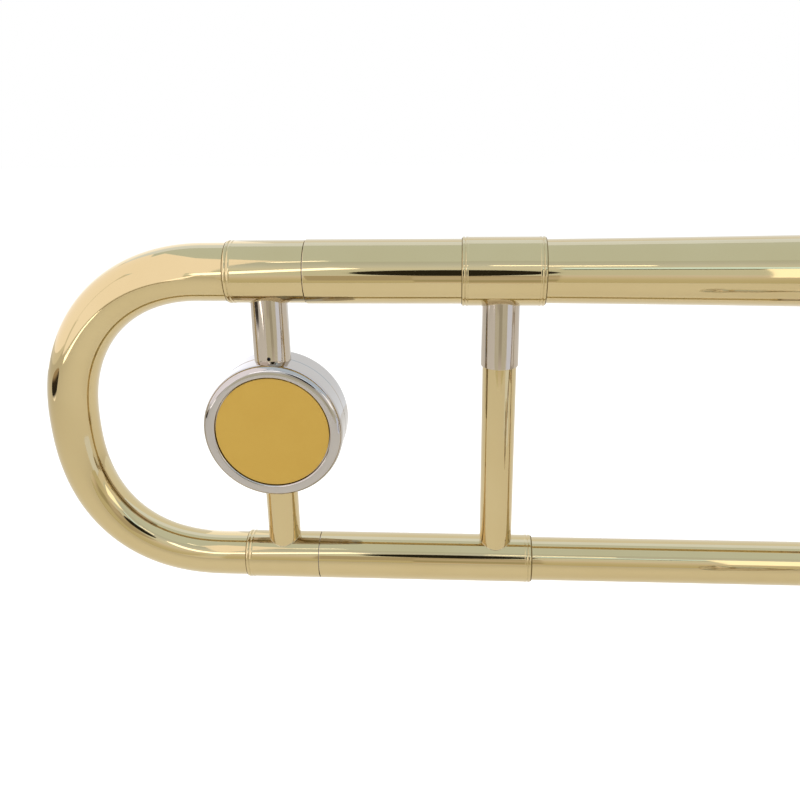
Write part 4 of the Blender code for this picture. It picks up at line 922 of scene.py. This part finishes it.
# %% Sleeves, barrels, felts and inner tubes
STOCKING, STOCKING_RADIUS, SLIDE_RADIUS, SLIDE_BORE = 105, 7.15, 7.0, 6.67
BARREL, SCRIBED, BARREL_BORE = 10.2, 9.9, 9.0
for leg, axis in LEG_AXES.items():
    make_tube(leg + "_leg_sleeve", 1, axis, "nickel_silver", [0, 1], [(1.5, 1.85, GROOVE)])
    (start, end), _, _ = box_mm(leg + "_leg_cork_barrel")
    barrel_section = [
        (start, CASING_BORE),
        (start, CASING_RADIUS + 0.63),
        (start + 2, BARREL),
        (start + 4, BARREL),
        (start + 4.2, SCRIBED),
        (start + 4.7, SCRIBED),
        (start + 4.9, BARREL),
        (end - 10.2, BARREL),
        (end - 10, SCRIBED),
        (end - 9.5, SCRIBED),
        (end - 9.3, BARREL),
        (end, BARREL),
        (end, BARREL_BORE),
        (start + 4, BARREL_BORE),
        (start + 4, CASING_BORE),
    ]
    barrel_section = rounded(barrel_section, 0.25)
    name, node = leg + "_leg_barrel_turned", leg + "_leg_cork_barrel"
    turned(name, node, "nickel_silver", barrel_section, axis)
    make_tube(leg + "_leg_barrel_felt", 1.2, axis, "felt", soft=0.55)
    (start, end), _, _ = box_mm(leg + "_leg_inner_tube")
    inner_section = [
        (start, SLIDE_BORE),
        (start, SLIDE_RADIUS),
        (end - STOCKING, SLIDE_RADIUS),
        (end - STOCKING + 2, STOCKING_RADIUS),
        (end, STOCKING_RADIUS),
        (end, SLIDE_BORE),
    ]
    inner_section = rounded(inner_section, 0.1)
    turned(leg + "_leg_inner_drawn", leg + "_leg_inner_tube", "chrome_tube", inner_section, axis)
receiver_bands = [(0, 3, 1), (3.8, 4.2, GROOVE)]
make_tube("mouthpiece_receiver", 1.7, MOUTH_AXIS, "nickel_silver", [0], receiver_bands, 0.35)
make_tube("leadpipe", 0.5, MOUTH_AXIS, "lacquered_brass")
print("inner slide is in place")

# %% [markdown]
# **Braces.** A brace is a tube between two flared sockets, soldered to the legs. The foot of each
# socket is filed hollow to the tube that it stands on.

# %% Sockets and brace tubes
SOCKET_LENGTH, SOCKET_RADIUS, SOCKET_FOOT, BRACE_GRIP, FLARE_STEPS = 9, 6.0, 7.8, 4.8, 8
OUTER_RADIUS = 7.75


def brace_socket(node, host_axis, host_radius, away):
    # Lengths are from the axis of the tube that it stands on. away points to the brace's other end.
    seat, top = host_radius + 1.5, host_radius + SOCKET_LENGTH
    section = [(host_radius * 0.5, 0), (host_radius * 0.5, SOCKET_FOOT)]
    for i in range(FLARE_STEPS + 1):
        t = i / FLARE_STEPS
        waist = (SOCKET_RADIUS + 0.1) * 2 * t * (1 - t)
        radius = SOCKET_FOOT * (1 - t) ** 2 + waist + SOCKET_RADIUS * t**2
        section.append((seat + 3.2 * t**2, radius))
    section += [
        (top - 1.5, SOCKET_RADIUS),
        (top - 1.2, SOCKET_RADIUS - 0.35),
        (top, SOCKET_RADIUS - 0.35),
        (top, BRACE_GRIP),
        (top - 5, BRACE_GRIP),
        (top - 5, 0),
    ]
    foot_place = Vector(host_axis) + X_AXIS * middle(box_mm(node)[0])
    socket = turn_piece(node + "_flared", section, foot_place, away, sides=64)
    cope(socket, foot_place, X_AXIS, host_radius + FIT)
    finish_piece(socket, node, "nickel_silver")


BELL_STEM = bell_radius(RIM_X - middle(box_mm("front_brace_tube")[0]))
brace_socket("front_brace_bell_flange", BELL_AXIS, BELL_STEM, -Z_AXIS)
brace_socket("front_brace_receiver_flange", NECK_AXIS, RECEIVER_RADIUS, Z_AXIS)
front_x = middle(box_mm("front_brace_tube")[0])
make_tube("front_brace_tube", 0.8, (front_x, 0, 0), "nickel_silver", along=Z_AXIS)
for name, host_radius in (("inner", CASING_RADIUS), ("outer", OUTER_RADIUS)):
    brace_socket(name + "_brace_bell_socket", NECK_AXIS, host_radius, -Y_AXIS)
    brace_socket(name + "_brace_mouth_socket", MOUTH_AXIS, host_radius, Y_AXIS)
    tube_x = middle(box_mm(name + "_brace_tube")[0])
    make_tube(name + "_brace_tube", 0.8, (tube_x, 0, 0), "nickel_silver", along=Y_AXIS)
print("bell stem radius at the front brace %.2f mm" % BELL_STEM)

# %% [markdown]
# ## Slide lock
# A knurled ring turns on the mouthpiece-side barrel. A notch in its front flange lets the lug on
# the outer slide pass, and a part turn catches the lug behind the flange.

# %% The lock ring and its notch
(ring_start, ring_end), _, _ = box_mm("slide_lock_ring")
RING_RADIUS, RING_BORE, RING_FLANGE, FLANGE_BORE = 12, 10.5, 3, 8.7
LUG_WIDTH, NOTCH_LOW, NOTCH_HIGH = 3, 8.05, 10.4
ring_band = (ring_start + 2, ring_end - 2)
ring_section = [
    (ring_start, RING_BORE),
    (ring_start, RING_RADIUS - 0.5),
    (ring_start + 0.4, RING_RADIUS - 0.1),
    *banded(ring_band, RING_RADIUS, [(0.5, 0.1), (0.25, 0.45)]),
    (ring_end - 0.4, RING_RADIUS - 0.1),
    (ring_end, RING_RADIUS - 0.5),
    (ring_end, FLANGE_BORE),
    (ring_end - RING_FLANGE, FLANGE_BORE),
    (ring_end - RING_FLANGE, RING_BORE),
]
lock_ring = turn_piece("knurled_lock_ring", ring_section, MOUTH_AXIS, sides=KNURL_SIDES)
knurl(lock_ring, MOUTH_AXIS, ring_band, RING_RADIUS, 0.35)


def block(name, low, high, bevel=0.0):
    # A cube between two corners in millimetres, with its edges broken by that bevel.
    low, high = Vector(low), Vector(high)
    bpy.ops.mesh.primitive_cube_add(size=1, location=(low + high) / 2 * MM)
    cube = bpy.context.object
    cube.name = name
    cube.scale = (high - low) * MM
    settle()
    if bevel:
        apply_modifier(cube, "BEVEL", width=bevel * MM, segments=3)
    return cube


notch_half = LUG_WIDTH / 2 + 0.6
notch = block(
    "lock_notch",
    (ring_end - RING_FLANGE - FIT, MOUTH_AXIS[1] - notch_half, NOTCH_LOW),
    (ring_end + 1, MOUTH_AXIS[1] + notch_half, NOTCH_HIGH),
)
combine(lock_ring, notch, "DIFFERENCE")
finish_piece(lock_ring, "slide_lock_ring", "nickel_silver", weighted=False)

# %% [markdown]
# ## Mouthpiece
# Turned from brass and silver plated: a rounded rim, a cup, a narrow throat and a tapered shank. A
# smooth curve through a few points gives the section, as a form tool would cut it.

# %% The mouthpiece
def smooth_line(points, steps=5):
    # A cubic curve that passes through every point.
    line = []
    for i in range(len(points) - 1):
        near = [Vector(points[min(max(k, 0), len(points) - 1)]) for k in range(i - 1, i + 3)]
        a, b, c, d = near
        for step in range(steps):
            t = step / steps
            square, cube = 2 * a - 5 * b + 4 * c - d, 3 * b - a - 3 * c + d
            line.append(0.5 * (2 * b + (c - a) * t + square * t**2 + cube * t**3))
    return [tuple(p) for p in line] + [points[-1]]


(mouth_back, mouth_front), _, _ = box_mm("mouthpiece")
SEAT_RADIUS, TIP_RADIUS, TIP_BORE, THROAT = 6.07, 5.2, 4.2, 3.2
SHANK = 27
cup_outside = [(0.7, 13.5), (0.05, 15.0), (0.1, 16.6), (1.4, 18.8), (3.6, 19.5), (5.8, 18.6)]
cup_outside += [(8.3, 17.3), (14, 16.3), (20, 14.9), (26.6, 12.1), (33.2, 8.3), (39, 6.4)]
cup_outside += [(44, SEAT_RADIUS)]
cup_inside = [(27, THROAT), (24, 3.25), (19.5, 5.6), (14.3, 8.9), (9, 11.2), (4, 12.4), (0.7, 13.5)]
mouth_section = [
    *[(mouth_back + a, r) for a, r in smooth_line(cup_outside)],
    (mouth_front - SHANK, SEAT_RADIUS),
    (mouth_front - 0.3, TIP_RADIUS),
    (mouth_front, TIP_RADIUS - 0.3),
    (mouth_front, TIP_BORE),
    *[(mouth_back + a, r) for a, r in smooth_line(cup_inside)[:-1]],
]
turned("silver_mouthpiece", "mouthpiece", "silver_plate", mouth_section, MOUTH_AXIS, sides=128)

# %% [markdown]
# ## Outer slide
# Two long drawn tubes, thin so that the right hand moves little weight, with a ferrule at the top,
# a brace to hold, and a bow that is called the crook at the far end. A rubber bumper ends it.

# %% Outer tubes, ferrules and the lug
SCRIBED_LINES = [(2, 2.3, GROOVE), (3, 3.3, GROOVE)]
CROOK_BANDS = [(0, 1.5, 0.4), (1.9, 2.2, GROOVE)]
LUG_LENGTH, LUG_LOW, LUG_HIGH = 2.4, 8.25, 9.8
for leg, axis in LEG_AXES.items():
    make_tube(leg + "_leg_outer_tube", 0.3, axis, "lacquered_brass")
    name = leg + "_leg_top_ferrule"
    top_ferrule = make_tube(name, 0.35, axis, "nickel_silver", [1], SCRIBED_LINES, 0.12)
    if leg == "mouth":
        lug_x = ring_end - RING_FLANGE - 3
        low = (lug_x, axis[1] - LUG_WIDTH / 2, LUG_LOW)
        high = (lug_x + LUG_LENGTH, axis[1] + LUG_WIDTH / 2, LUG_HIGH)
        combine(top_ferrule, block("lock_lug", low, high, 0.25), "UNION")
    make_tube(leg + "_leg_crook_ferrule", 0.6, axis, "nickel_silver", [0, 1], CROOK_BANDS, 0.2)

# %% The crook
CROOK_WALL, CROOK_STEPS = 0.6, 72
(crook_start, crook_end), _, _ = box_mm("slide_crook")
bend = -MOUTH_AXIS[1] / 2
crook_centre = Vector((crook_end - OUTER_RADIUS - bend, -bend, 0))
crook_line = [(Vector((crook_start, 0, 0)), OUTER_RADIUS)]
for i in range(CROOK_STEPS + 1):
    angle = math.pi * i / CROOK_STEPS
    arm = Vector((math.sin(angle), math.cos(angle), 0)) * bend
    crook_line.append((crook_centre + arm, OUTER_RADIUS))
crook_line.append((Vector((crook_start, MOUTH_AXIS[1], 0)), OUTER_RADIUS))
bent_pipe("bent_slide_crook", "slide_crook", crook_line, X_AXIS, Z_AXIS, CROOK_WALL)
print("crook apex at x %.1f mm" % (crook_centre.x + bend))

# %% The bumper and its holder
bumper_axis = (0, -bend, 0)
(_, holder_end), _, _ = box_mm("bumper_holder")
(_, bumper_end), _, _ = box_mm("rubber_bumper")
HOLDER_RADIUS, HOLDER_BORE, HOLDER_GAP, FLOOR_THICKNESS = 6.6, 5.4, 0.6, 1.2
crook_apex = crook_centre.x + bend
holder_floor = crook_apex + OUTER_RADIUS + HOLDER_GAP + FLOOR_THICKNESS
holder_section = [
    (crook_apex, 0),
    (crook_apex, HOLDER_RADIUS),
    (holder_end - 2.6, HOLDER_RADIUS),
    (holder_end - 2.3, HOLDER_RADIUS - 0.3),
    (holder_end - 2.0, HOLDER_RADIUS),
    (holder_end - 0.3, HOLDER_RADIUS),
    (holder_end, HOLDER_RADIUS - 0.3),
    (holder_end, HOLDER_BORE),
    (holder_floor, HOLDER_BORE),
    (holder_floor, 0),
]
holder = turn_piece("bumper_cup", holder_section, bumper_axis)
cope(holder, (crook_apex, -bend, 0), Y_AXIS, OUTER_RADIUS + HOLDER_GAP)
finish_piece(holder, "bumper_holder", "nickel_silver")
bumper_dome = [(holder_end + 4.4, HOLDER_RADIUS), (bumper_end - 0.9, 5.3), (bumper_end - 0.1, 3.2)]
bumper_section = [
    (holder_floor + FIT, 0),
    (holder_floor + FIT, HOLDER_BORE - FIT),
    (holder_end + FIT, HOLDER_BORE - FIT),
    (holder_end + FIT, HOLDER_RADIUS - 0.3),
    (holder_end + FIT + 0.3, HOLDER_RADIUS),
    *smooth_line(bumper_dome),
    (bumper_end, 0),
]
turned("moulded_bumper", "rubber_bumper", "rubber", bumper_section, bumper_axis)

# %% [markdown]
# ## Water key
# Breath leaves water in the crook. A sprung lever holds a cork on a small nipple, and the touch at
# its other end is pressed to let the water out. It turns on a screw between the ears of a saddle.

# %% Nipple, saddle and screw
NIPPLE_X = middle(box_mm("water_key_nipple")[0])
PIVOT_X = middle(box_mm("water_key_saddle")[0])
PIVOT_Y = middle(box_mm("water_key_screw")[1])
NIPPLE_RADIUS, NIPPLE_BORE = 3.2, 1.6
nipple_top = box_mm("water_key_nipple")[1][1]
nipple_section = [
    (OUTER_RADIUS / 2, NIPPLE_BORE),
    (OUTER_RADIUS / 2, NIPPLE_RADIUS),
    (nipple_top - 1.5, NIPPLE_RADIUS),
    (nipple_top - 0.6, 2.7),
    (nipple_top, 2.3),
    (nipple_top, NIPPLE_BORE),
]
nipple = turn_piece("water_nipple", nipple_section, (NIPPLE_X, 0, 0), Y_AXIS, sides=48)
cope(nipple, (NIPPLE_X, 0, 0), X_AXIS, OUTER_RADIUS + FIT)
finish_piece(nipple, "water_key_nipple", "nickel_silver")

(ear_back, ear_front), (_, ear_top), (ear_low, ear_high) = box_mm("water_key_saddle")
EAR_THICKNESS, EAR_ROUND, PIN_HOLE = 1.3, 2.7, 1.4
ears = block("key_saddle", (ear_back, OUTER_RADIUS / 3, ear_low), (ear_front, ear_top, ear_high))
only(ears)
edit_all("DESELECT")
bpy.ops.object.mode_set(mode="OBJECT")
for side in ears.data.edges:
    ends = [ears.data.vertices[i].co for i in side.vertices]
    side.select = abs(ends[0].z - ends[1].z) > MM and ends[0].y > (ear_top - 1) * MM
bpy.ops.object.mode_set(mode="EDIT")
bpy.ops.mesh.select_mode(type="EDGE")
bpy.ops.mesh.bevel(offset=EAR_ROUND * MM, segments=8, affect="EDGES")
bpy.ops.mesh.select_mode(type="VERT")
bpy.ops.object.mode_set(mode="OBJECT")
low = (ear_back - 5, OUTER_RADIUS + FIT + EAR_THICKNESS, ear_low + EAR_THICKNESS)
high = (ear_front + 5, ear_top + 5, ear_high - EAR_THICKNESS)
combine(ears, block("between_ears", low, high), "DIFFERENCE")
cope(ears, (PIVOT_X, PIVOT_Y, 0), Z_AXIS, PIN_HOLE)
cope(ears, (PIVOT_X, 0, 0), X_AXIS, OUTER_RADIUS + FIT)
sharp = {"limit_method": "ANGLE", "angle_limit": math.radians(50)}
apply_modifier(ears, "BEVEL", width=0.15 * MM, segments=2, **sharp)
finish_piece(ears, "water_key_saddle", "nickel_silver")

_, _, (screw_low, screw_high) = box_mm("water_key_screw")
PIN_RADIUS, HEAD_RADIUS, HEAD = 1.1, 2.0, 1.2
pin_section = [
    (screw_low, 0),
    (screw_low, PIN_RADIUS - 0.2),
    (screw_low + 0.2, PIN_RADIUS),
    (screw_high - HEAD, PIN_RADIUS),
    (screw_high - HEAD, HEAD_RADIUS),
    (screw_high - 0.35, HEAD_RADIUS),
    (screw_high, HEAD_RADIUS - 0.45),
    (screw_high, 0),
]
pin = turn_piece("pivot_screw", pin_section, (PIVOT_X, PIVOT_Y, 0), Z_AXIS, sides=32)
low = (PIVOT_X - 3, PIVOT_Y - 0.25, screw_high - 0.6)
high = (PIVOT_X + 3, PIVOT_Y + 0.25, screw_high + 1)
combine(pin, block("screw_slot", low, high), "DIFFERENCE")
finish_piece(pin, "water_key_screw", "blued_steel")


# %% A bent wire, and the spring
def bent_wire(name, points, radius):
    draw_line(name, points)
    bpy.ops.object.mode_set(mode="OBJECT")
    settle()
    bpy.ops.object.convert(target="CURVE")
    wire = bpy.context.object
    wire.data.bevel_depth = radius * MM
    wire.data.bevel_resolution = 3
    wire.data.use_fill_caps = True
    bpy.ops.object.convert(target="MESH")
    face_outwards()
    return bpy.context.object


SPRING_TURNS, SPRING_PITCH, SPRING_WIRE, COIL_STEPS = 2.5, 1.25, 0.35, 60
coil_radius = PIN_RADIUS + FIT + SPRING_WIRE
spring_low = box_mm("water_key_spring")[1][0]
coil_start = ear_high - EAR_THICKNESS - FIT - SPRING_WIRE - SPRING_TURNS * SPRING_PITCH
spring_points = [Vector((PIVOT_X - coil_radius, spring_low, coil_start))]
for i in range(COIL_STEPS + 1):
    angle = math.pi + math.tau * SPRING_TURNS * i / COIL_STEPS
    x, y = PIVOT_X + coil_radius * math.cos(angle), PIVOT_Y + coil_radius * math.sin(angle)
    spring_points.append(Vector((x, y, coil_start + SPRING_TURNS * SPRING_PITCH * i / COIL_STEPS)))
spring_points.append(spring_points[-1] + Vector((0, 3, 0)))
spring = bent_wire("coiled_key_spring", spring_points, SPRING_WIRE)
finish_piece(spring, "water_key_spring", "blued_steel", weighted=False)

# %% The lever and its cork
_, _, (hub_side, _) = box_mm("water_key_lever")
_, (cork_low, cork_high), _ = box_mm("water_key_cork")
CORK_RADIUS, CUP_RADIUS, HUB_RADIUS, HUB_LENGTH = 3.4, 4.6, 2.5, 3.4
cup_low, cup_floor, cup_top = cork_high - 1.6, cork_high + FIT, cork_high + FIT + 0.9
key_section = [
    (cup_floor, 0),
    (cup_floor, CORK_RADIUS + FIT),
    (cup_low, CORK_RADIUS + FIT),
    (cup_low, CUP_RADIUS - 0.1),
    (cork_high - 1.5, CUP_RADIUS),
    (cup_top - 0.5, CUP_RADIUS),
    (cup_top, CUP_RADIUS - 0.4),
    (cup_top + 0.6, CUP_RADIUS * 0.72),
    (cup_top + 0.9, CUP_RADIUS * 0.4),
    (cup_top + 0.9, 0),
]
nipple_place = (NIPPLE_X, 0, 0)
lever = turn_piece("key_lever", key_section, nipple_place, Y_AXIS, sides=64)
hub_section = [(0, PIN_HOLE), (0, HUB_RADIUS), (HUB_LENGTH, HUB_RADIUS), (HUB_LENGTH, PIN_HOLE)]
hub_place = (PIVOT_X, PIVOT_Y, hub_side)
hub = turn_piece("key_hub", rounded(hub_section, 0.2), hub_place, Z_AXIS, sides=48)
hub_z, arm_low = hub_side + 1.7, cup_top - 0.45
low, high = (PIVOT_X - 0.5, arm_low, hub_z - 1.4), (NIPPLE_X + 1.6, arm_low + 2, 1.4)
front_arm = block("key_front_arm", low, high, 0.3)
TOUCH_SIZE = (15, 2.2, 8.5)
touch_place = (PIVOT_X - 32, PIVOT_Y + 5.5, 0)
arm_points = [
    (PIVOT_X + 0.6, PIVOT_Y + 1.3, hub_z),
    (PIVOT_X - 9.6, PIVOT_Y + 3.3, hub_z),
    (PIVOT_X - 20.8, PIVOT_Y + 5.5, hub_z * 0.4),
    touch_place,
]
back_arm = bent_wire("key_back_arm", smooth_line(arm_points, 8), 1.0)
bpy.ops.mesh.primitive_uv_sphere_add(
    segments=48, ring_count=24, radius=0.5, location=Vector(touch_place) * MM
)
touch = bpy.context.object
touch.scale = Vector(TOUCH_SIZE) * MM
settle()
for other in (hub, front_arm, back_arm, touch):
    combine(lever, other, "UNION")
cope(lever, (PIVOT_X, PIVOT_Y, 0), Z_AXIS, PIN_HOLE)
finish_piece(lever, "water_key_lever", "nickel_silver", weighted=False)
cork_section = rod(cork_low, cork_high, CORK_RADIUS, 0.35)
pad = turn_piece("cork_pad", cork_section, nipple_place, Y_AXIS, sides=48)
finish_piece(pad, "water_key_cork", "cork")
print("water key is in place")

# %% [markdown]
# ## Studio
# The object stands in a pale room, and the metal shows that room. The background is white because
# the world is white where the camera, or a reflection, looks past the object. The room itself is
# cards that only reflections see, each where the photograph's reflections say that it was:
#
# - a bluish roof with a joint across it, and walls in front, behind and on the left
# - the dark oval of the camera, which is the thin black streak along each tube, and its stand
# - white laths and a strip lamp beside and above the lens, which are the bright streaks
# - peach walls at the left, for the bow, with a dark doorway in them
# - a bright case and a pale card low at the right, which the brace and the posts face

# %% The world and the floor
world = bpy.data.worlds.new("white_studio")
bpy.context.scene.world = world
world.use_nodes = True
background = world.node_tree.nodes["Background"]
light_path = add_node(world, "ShaderNodeLightPath")
seen = add_node(
    world,
    "ShaderNodeMath",
    {"operation": "ADD"},
    links={0: light_path.outputs["Is Camera Ray"], 1: light_path.outputs["Is Glossy Ray"]},
)
seen = add_node(
    world,
    "ShaderNodeMath",
    {"operation": "ADD", "use_clamp": True},
    links={0: seen.outputs[0], 1: light_path.outputs["Is Transmission Ray"]},
)
spread = {"To Min": 0.8, "To Max": 1.0}
strength = add_node(world, "ShaderNodeMapRange", values=spread, links={"Value": seen.outputs[0]})
background.inputs["Color"].default_value = (1, 1, 1, 1)
world.node_tree.links.new(strength.outputs["Result"], background.inputs["Strength"])
world.cycles_visibility.camera = True

FLOOR_Z = -0.3
CAMERA_GLOW, GLOSSY_GLOW = 0.35, 0.05
bpy.ops.mesh.primitive_plane_add(size=8, location=(0, 0, FLOOR_Z))
floor = bpy.context.object
floor.name = "studio_floor"
floor_paint, shader = new_material("white_studio_floor")
shader.inputs["Base Color"].default_value = linear("#f4f4f2")
shader.inputs["Roughness"].default_value = 0.9
shader.inputs["Specular IOR Level"].default_value = 0
light_path = add_node(floor_paint, "ShaderNodeLightPath")
glow = add_node(
    floor_paint,
    "ShaderNodeMath",
    {"operation": "MULTIPLY"},
    {1: GLOSSY_GLOW},
    {0: light_path.outputs["Is Glossy Ray"]},
)
glow = add_node(
    floor_paint,
    "ShaderNodeMath",
    {"operation": "MULTIPLY_ADD"},
    {1: CAMERA_GLOW},
    {0: light_path.outputs["Is Camera Ray"], 2: glow.outputs[0]},
)
shader.inputs["Emission Color"].default_value = (1, 1, 1, 1)
floor_paint.node_tree.links.new(glow.outputs[0], shader.inputs["Emission Strength"])
floor.data.materials.append(floor_paint)


# %% Cards that only reflections see
def reflected_card(name, centre, width, height, tones, facing=Y_AXIS, oval=False, lean=0):
    # tones are one colour, or a list of (share of the height, colour) from the bottom up.
    upright = facing.to_track_quat("Z", "Y").to_matrix()
    turn = (upright @ Matrix.Rotation(math.radians(lean), 3, "Z")).to_euler()
    if oval:
        shape = {"vertices": 64, "radius": 0.5, "fill_type": "NGON"}
        bpy.ops.mesh.primitive_circle_add(**shape, location=centre, rotation=turn)
    else:
        bpy.ops.mesh.primitive_plane_add(size=1, location=centre, rotation=turn)
    card = bpy.context.object
    card.name = name
    card.scale = (width, height, 1)
    paint = bpy.data.materials.new(name + "_paint")
    paint.use_nodes = True
    paint.node_tree.nodes.clear()
    place = add_node(paint, "ShaderNodeTexCoord")
    parts = add_node(paint, "ShaderNodeSeparateXYZ", links={0: place.outputs["Object"]})
    share = add_node(paint, "ShaderNodeMath", values={1: 0.5}, links={0: parts.outputs["Y"]})
    ramp = add_node(paint, "ShaderNodeValToRGB", links={"Fac": share.outputs[0]})
    if not isinstance(tones, list):
        tones = [(0, tones)]
    peak = max(max(colour) for _, colour in tones)
    stops = ramp.color_ramp.elements
    while len(stops) < len(tones):
        stops.new(0.5)
    while len(stops) > len(tones):
        stops.remove(stops[-1])
    for stop, (position, colour) in zip(stops, tones):
        stop.position = position
        stop.color = (*[c / peak for c in colour], 1)
    light = {"Color": ramp.outputs[0]}
    glow = add_node(paint, "ShaderNodeEmission", values={"Strength": peak}, links=light)
    add_node(paint, "ShaderNodeOutputMaterial", links={"Surface": glow.outputs[0]})
    card.data.materials.append(paint)
    for ray in ("camera", "diffuse", "transmission", "volume_scatter", "shadow"):
        setattr(card, "visible_" + ray, False)


WALL = [
    (0.3, (0.88, 0.98, 1.05)),
    (0.37, (1.0, 1.08, 1.18)),
    (0.58, (0.87, 0.99, 1.2)),
    (0.75, (0.77, 0.89, 1.08)),
    (1.0, (0.72, 0.85, 0.97)),
]
SCREEN = [(0.35, (0.78, 0.77, 0.63)), (0.6, (0.88, 0.86, 0.78)), (1.0, (1.0, 1.0, 1.15))]
STAND = [
    (0.0, (0.95, 0.95, 0.95)),
    (0.1, (0.87, 0.81, 0.76)),
    (0.22, (0.58, 0.55, 0.43)),
    (0.45, (0.54, 0.52, 0.4)),
    (0.55, (0.74, 0.7, 0.66)),
    (0.9, (0.7, 0.66, 0.6)),
    (1.0, (0.45, 0.4, 0.35)),
]
DOORWAY = [
    (0.0, (2.0, 2.0, 2.2)),
    (0.18, (0.03, 0.03, 0.03)),
    (0.6, (0.05, 0.04, 0.03)),
    (0.8, (0.5, 0.4, 0.3)),
]
PEACH, LATH, BLACK = (1.45, 1.42, 1.55), (3.0, 3.0, 3.3), (0.03, 0.028, 0.02)
TO_DOORWAY, TO_LOW_RIGHT = Vector((0.93, 0.37, 0.2)), Vector((-0.86, 0.5, 0.1))
reflected_card("tent_roof", (0.1, -0.15, 0.75), 2.4, 0.9, (0.82, 0.98, 1.15), -Z_AXIS)
reflected_card("back_roof", (0.1, 0.5, 0.75), 2.4, 0.4, (1.08, 1.27, 1.7), -Z_AXIS)
reflected_card("roof_joint", (0.1, 0.3, 0.747), 2.4, 0.016, (0.65, 0.77, 0.9), -Z_AXIS)
reflected_card("tent_front", (0.1, -0.6, 0.42), 2.4, 0.66, WALL)
reflected_card("camera_body", (-0.2015, -0.25, 0.1475), 0.122, 0.088, BLACK, oval=True)
reflected_card("camera_stand", (-0.182, -0.252, 0.043), 0.084, 0.125, STAND)
reflected_card("camera_grip", (-0.257, -0.252, 0.068), 0.066, 0.075, (0.62, 0.58, 0.5))
reflected_card("low_screen", (-0.16, -0.256, 0.045), 0.38, 0.13, SCREEN)
reflected_card("dark_sill", (-0.03, -0.335, 0.226), 0.2, 0.013, (0.1, 0.12, 0.1))
reflected_card("light_sill", (-0.03, -0.336, 0.25), 0.2, 0.035, (1.1, 1.55, 2.1))
reflected_card("strip_lamp", (-0.11, -0.38, 0.34), 0.12, 0.014, (3.5, 3.5, 3.5))
reflected_card("white_case", (0.13, -0.25, 0.14), 0.3, 0.12, (2.0, 2.0, 2.0))
reflected_card("flash", (-0.33, -0.31, 0.187), 0.17, 0.03, LATH, lean=-50)
reflected_card("flash_tail", (-0.3915, -0.311, 0.08), 0.126, 0.008, (2.2, 2.1, 2.3), lean=-72)
reflected_card("high_lath", (-0.331, -0.31, 0.452), 0.066, 0.016, LATH, lean=-54)
reflected_card("warm_low", (-0.585, -0.315, 0.149), 0.37, 0.26, PEACH)
reflected_card("warm_front", (-0.8775, -0.59, 0.47), 0.845, 0.55, PEACH)
reflected_card("warm_roof", (-0.812, -0.296, 0.74), 0.6, 0.75, PEACH, -Z_AXIS, lean=-19)
reflected_card("warm_side", (-0.75, 0.03, 0.61), 0.56, 1.08, PEACH, X_AXIS)
reflected_card("back_wall", (0.1, 0.7, 0.3), 2.4, 0.9, (1.03, 1.08, 1.15), -Y_AXIS)
reflected_card("back_left", (-0.85, 0.69, 0.3), 0.8, 0.9, (1.45, 1.5, 1.65), -Y_AXIS)
reflected_card("dark_doorway", (-0.67, -0.131, -0.003), 0.214, 0.06, DOORWAY, TO_DOORWAY, oval=True)
reflected_card("low_right", (0.33, -0.36, -0.12), 0.34, 0.2, (1.0, 1.1, 1.35), TO_LOW_RIGHT)
reflected_card("table_edge", (-0.43, -0.31, 0.003), 0.045, 0.01, (0.4, 0.3, 0.2))
reflected_card("bright_edge", (-0.535, -0.31, -0.002), 0.17, 0.012, (3.5, 3.5, 3.7))

# %% Soft lamps
for name, place, size, power in (
    ("key_lamp", (-0.7, -0.5, 1.1), 0.6, 4),
    ("top_lamp", (0.4, 0.3, 1.2), 1.0, 5),
):
    bpy.ops.object.light_add(type="AREA", location=place)
    lamp = bpy.context.object
    lamp.name = name
    lamp.data.size = size
    lamp.data.energy = power
    lamp.rotation_euler = (Vector((0, 0, 0.05)) - Vector(place)).to_track_quat("-Z", "Y").to_euler()
    lamp.visible_glossy = False

bpy.context.scene.view_settings.view_transform = "Standard"

# %% Every CAD node has its piece
print("nodes still shown:", [name for name, obj in frame["nodes"].items() if not obj.hide_render])

# %% Import json
import json
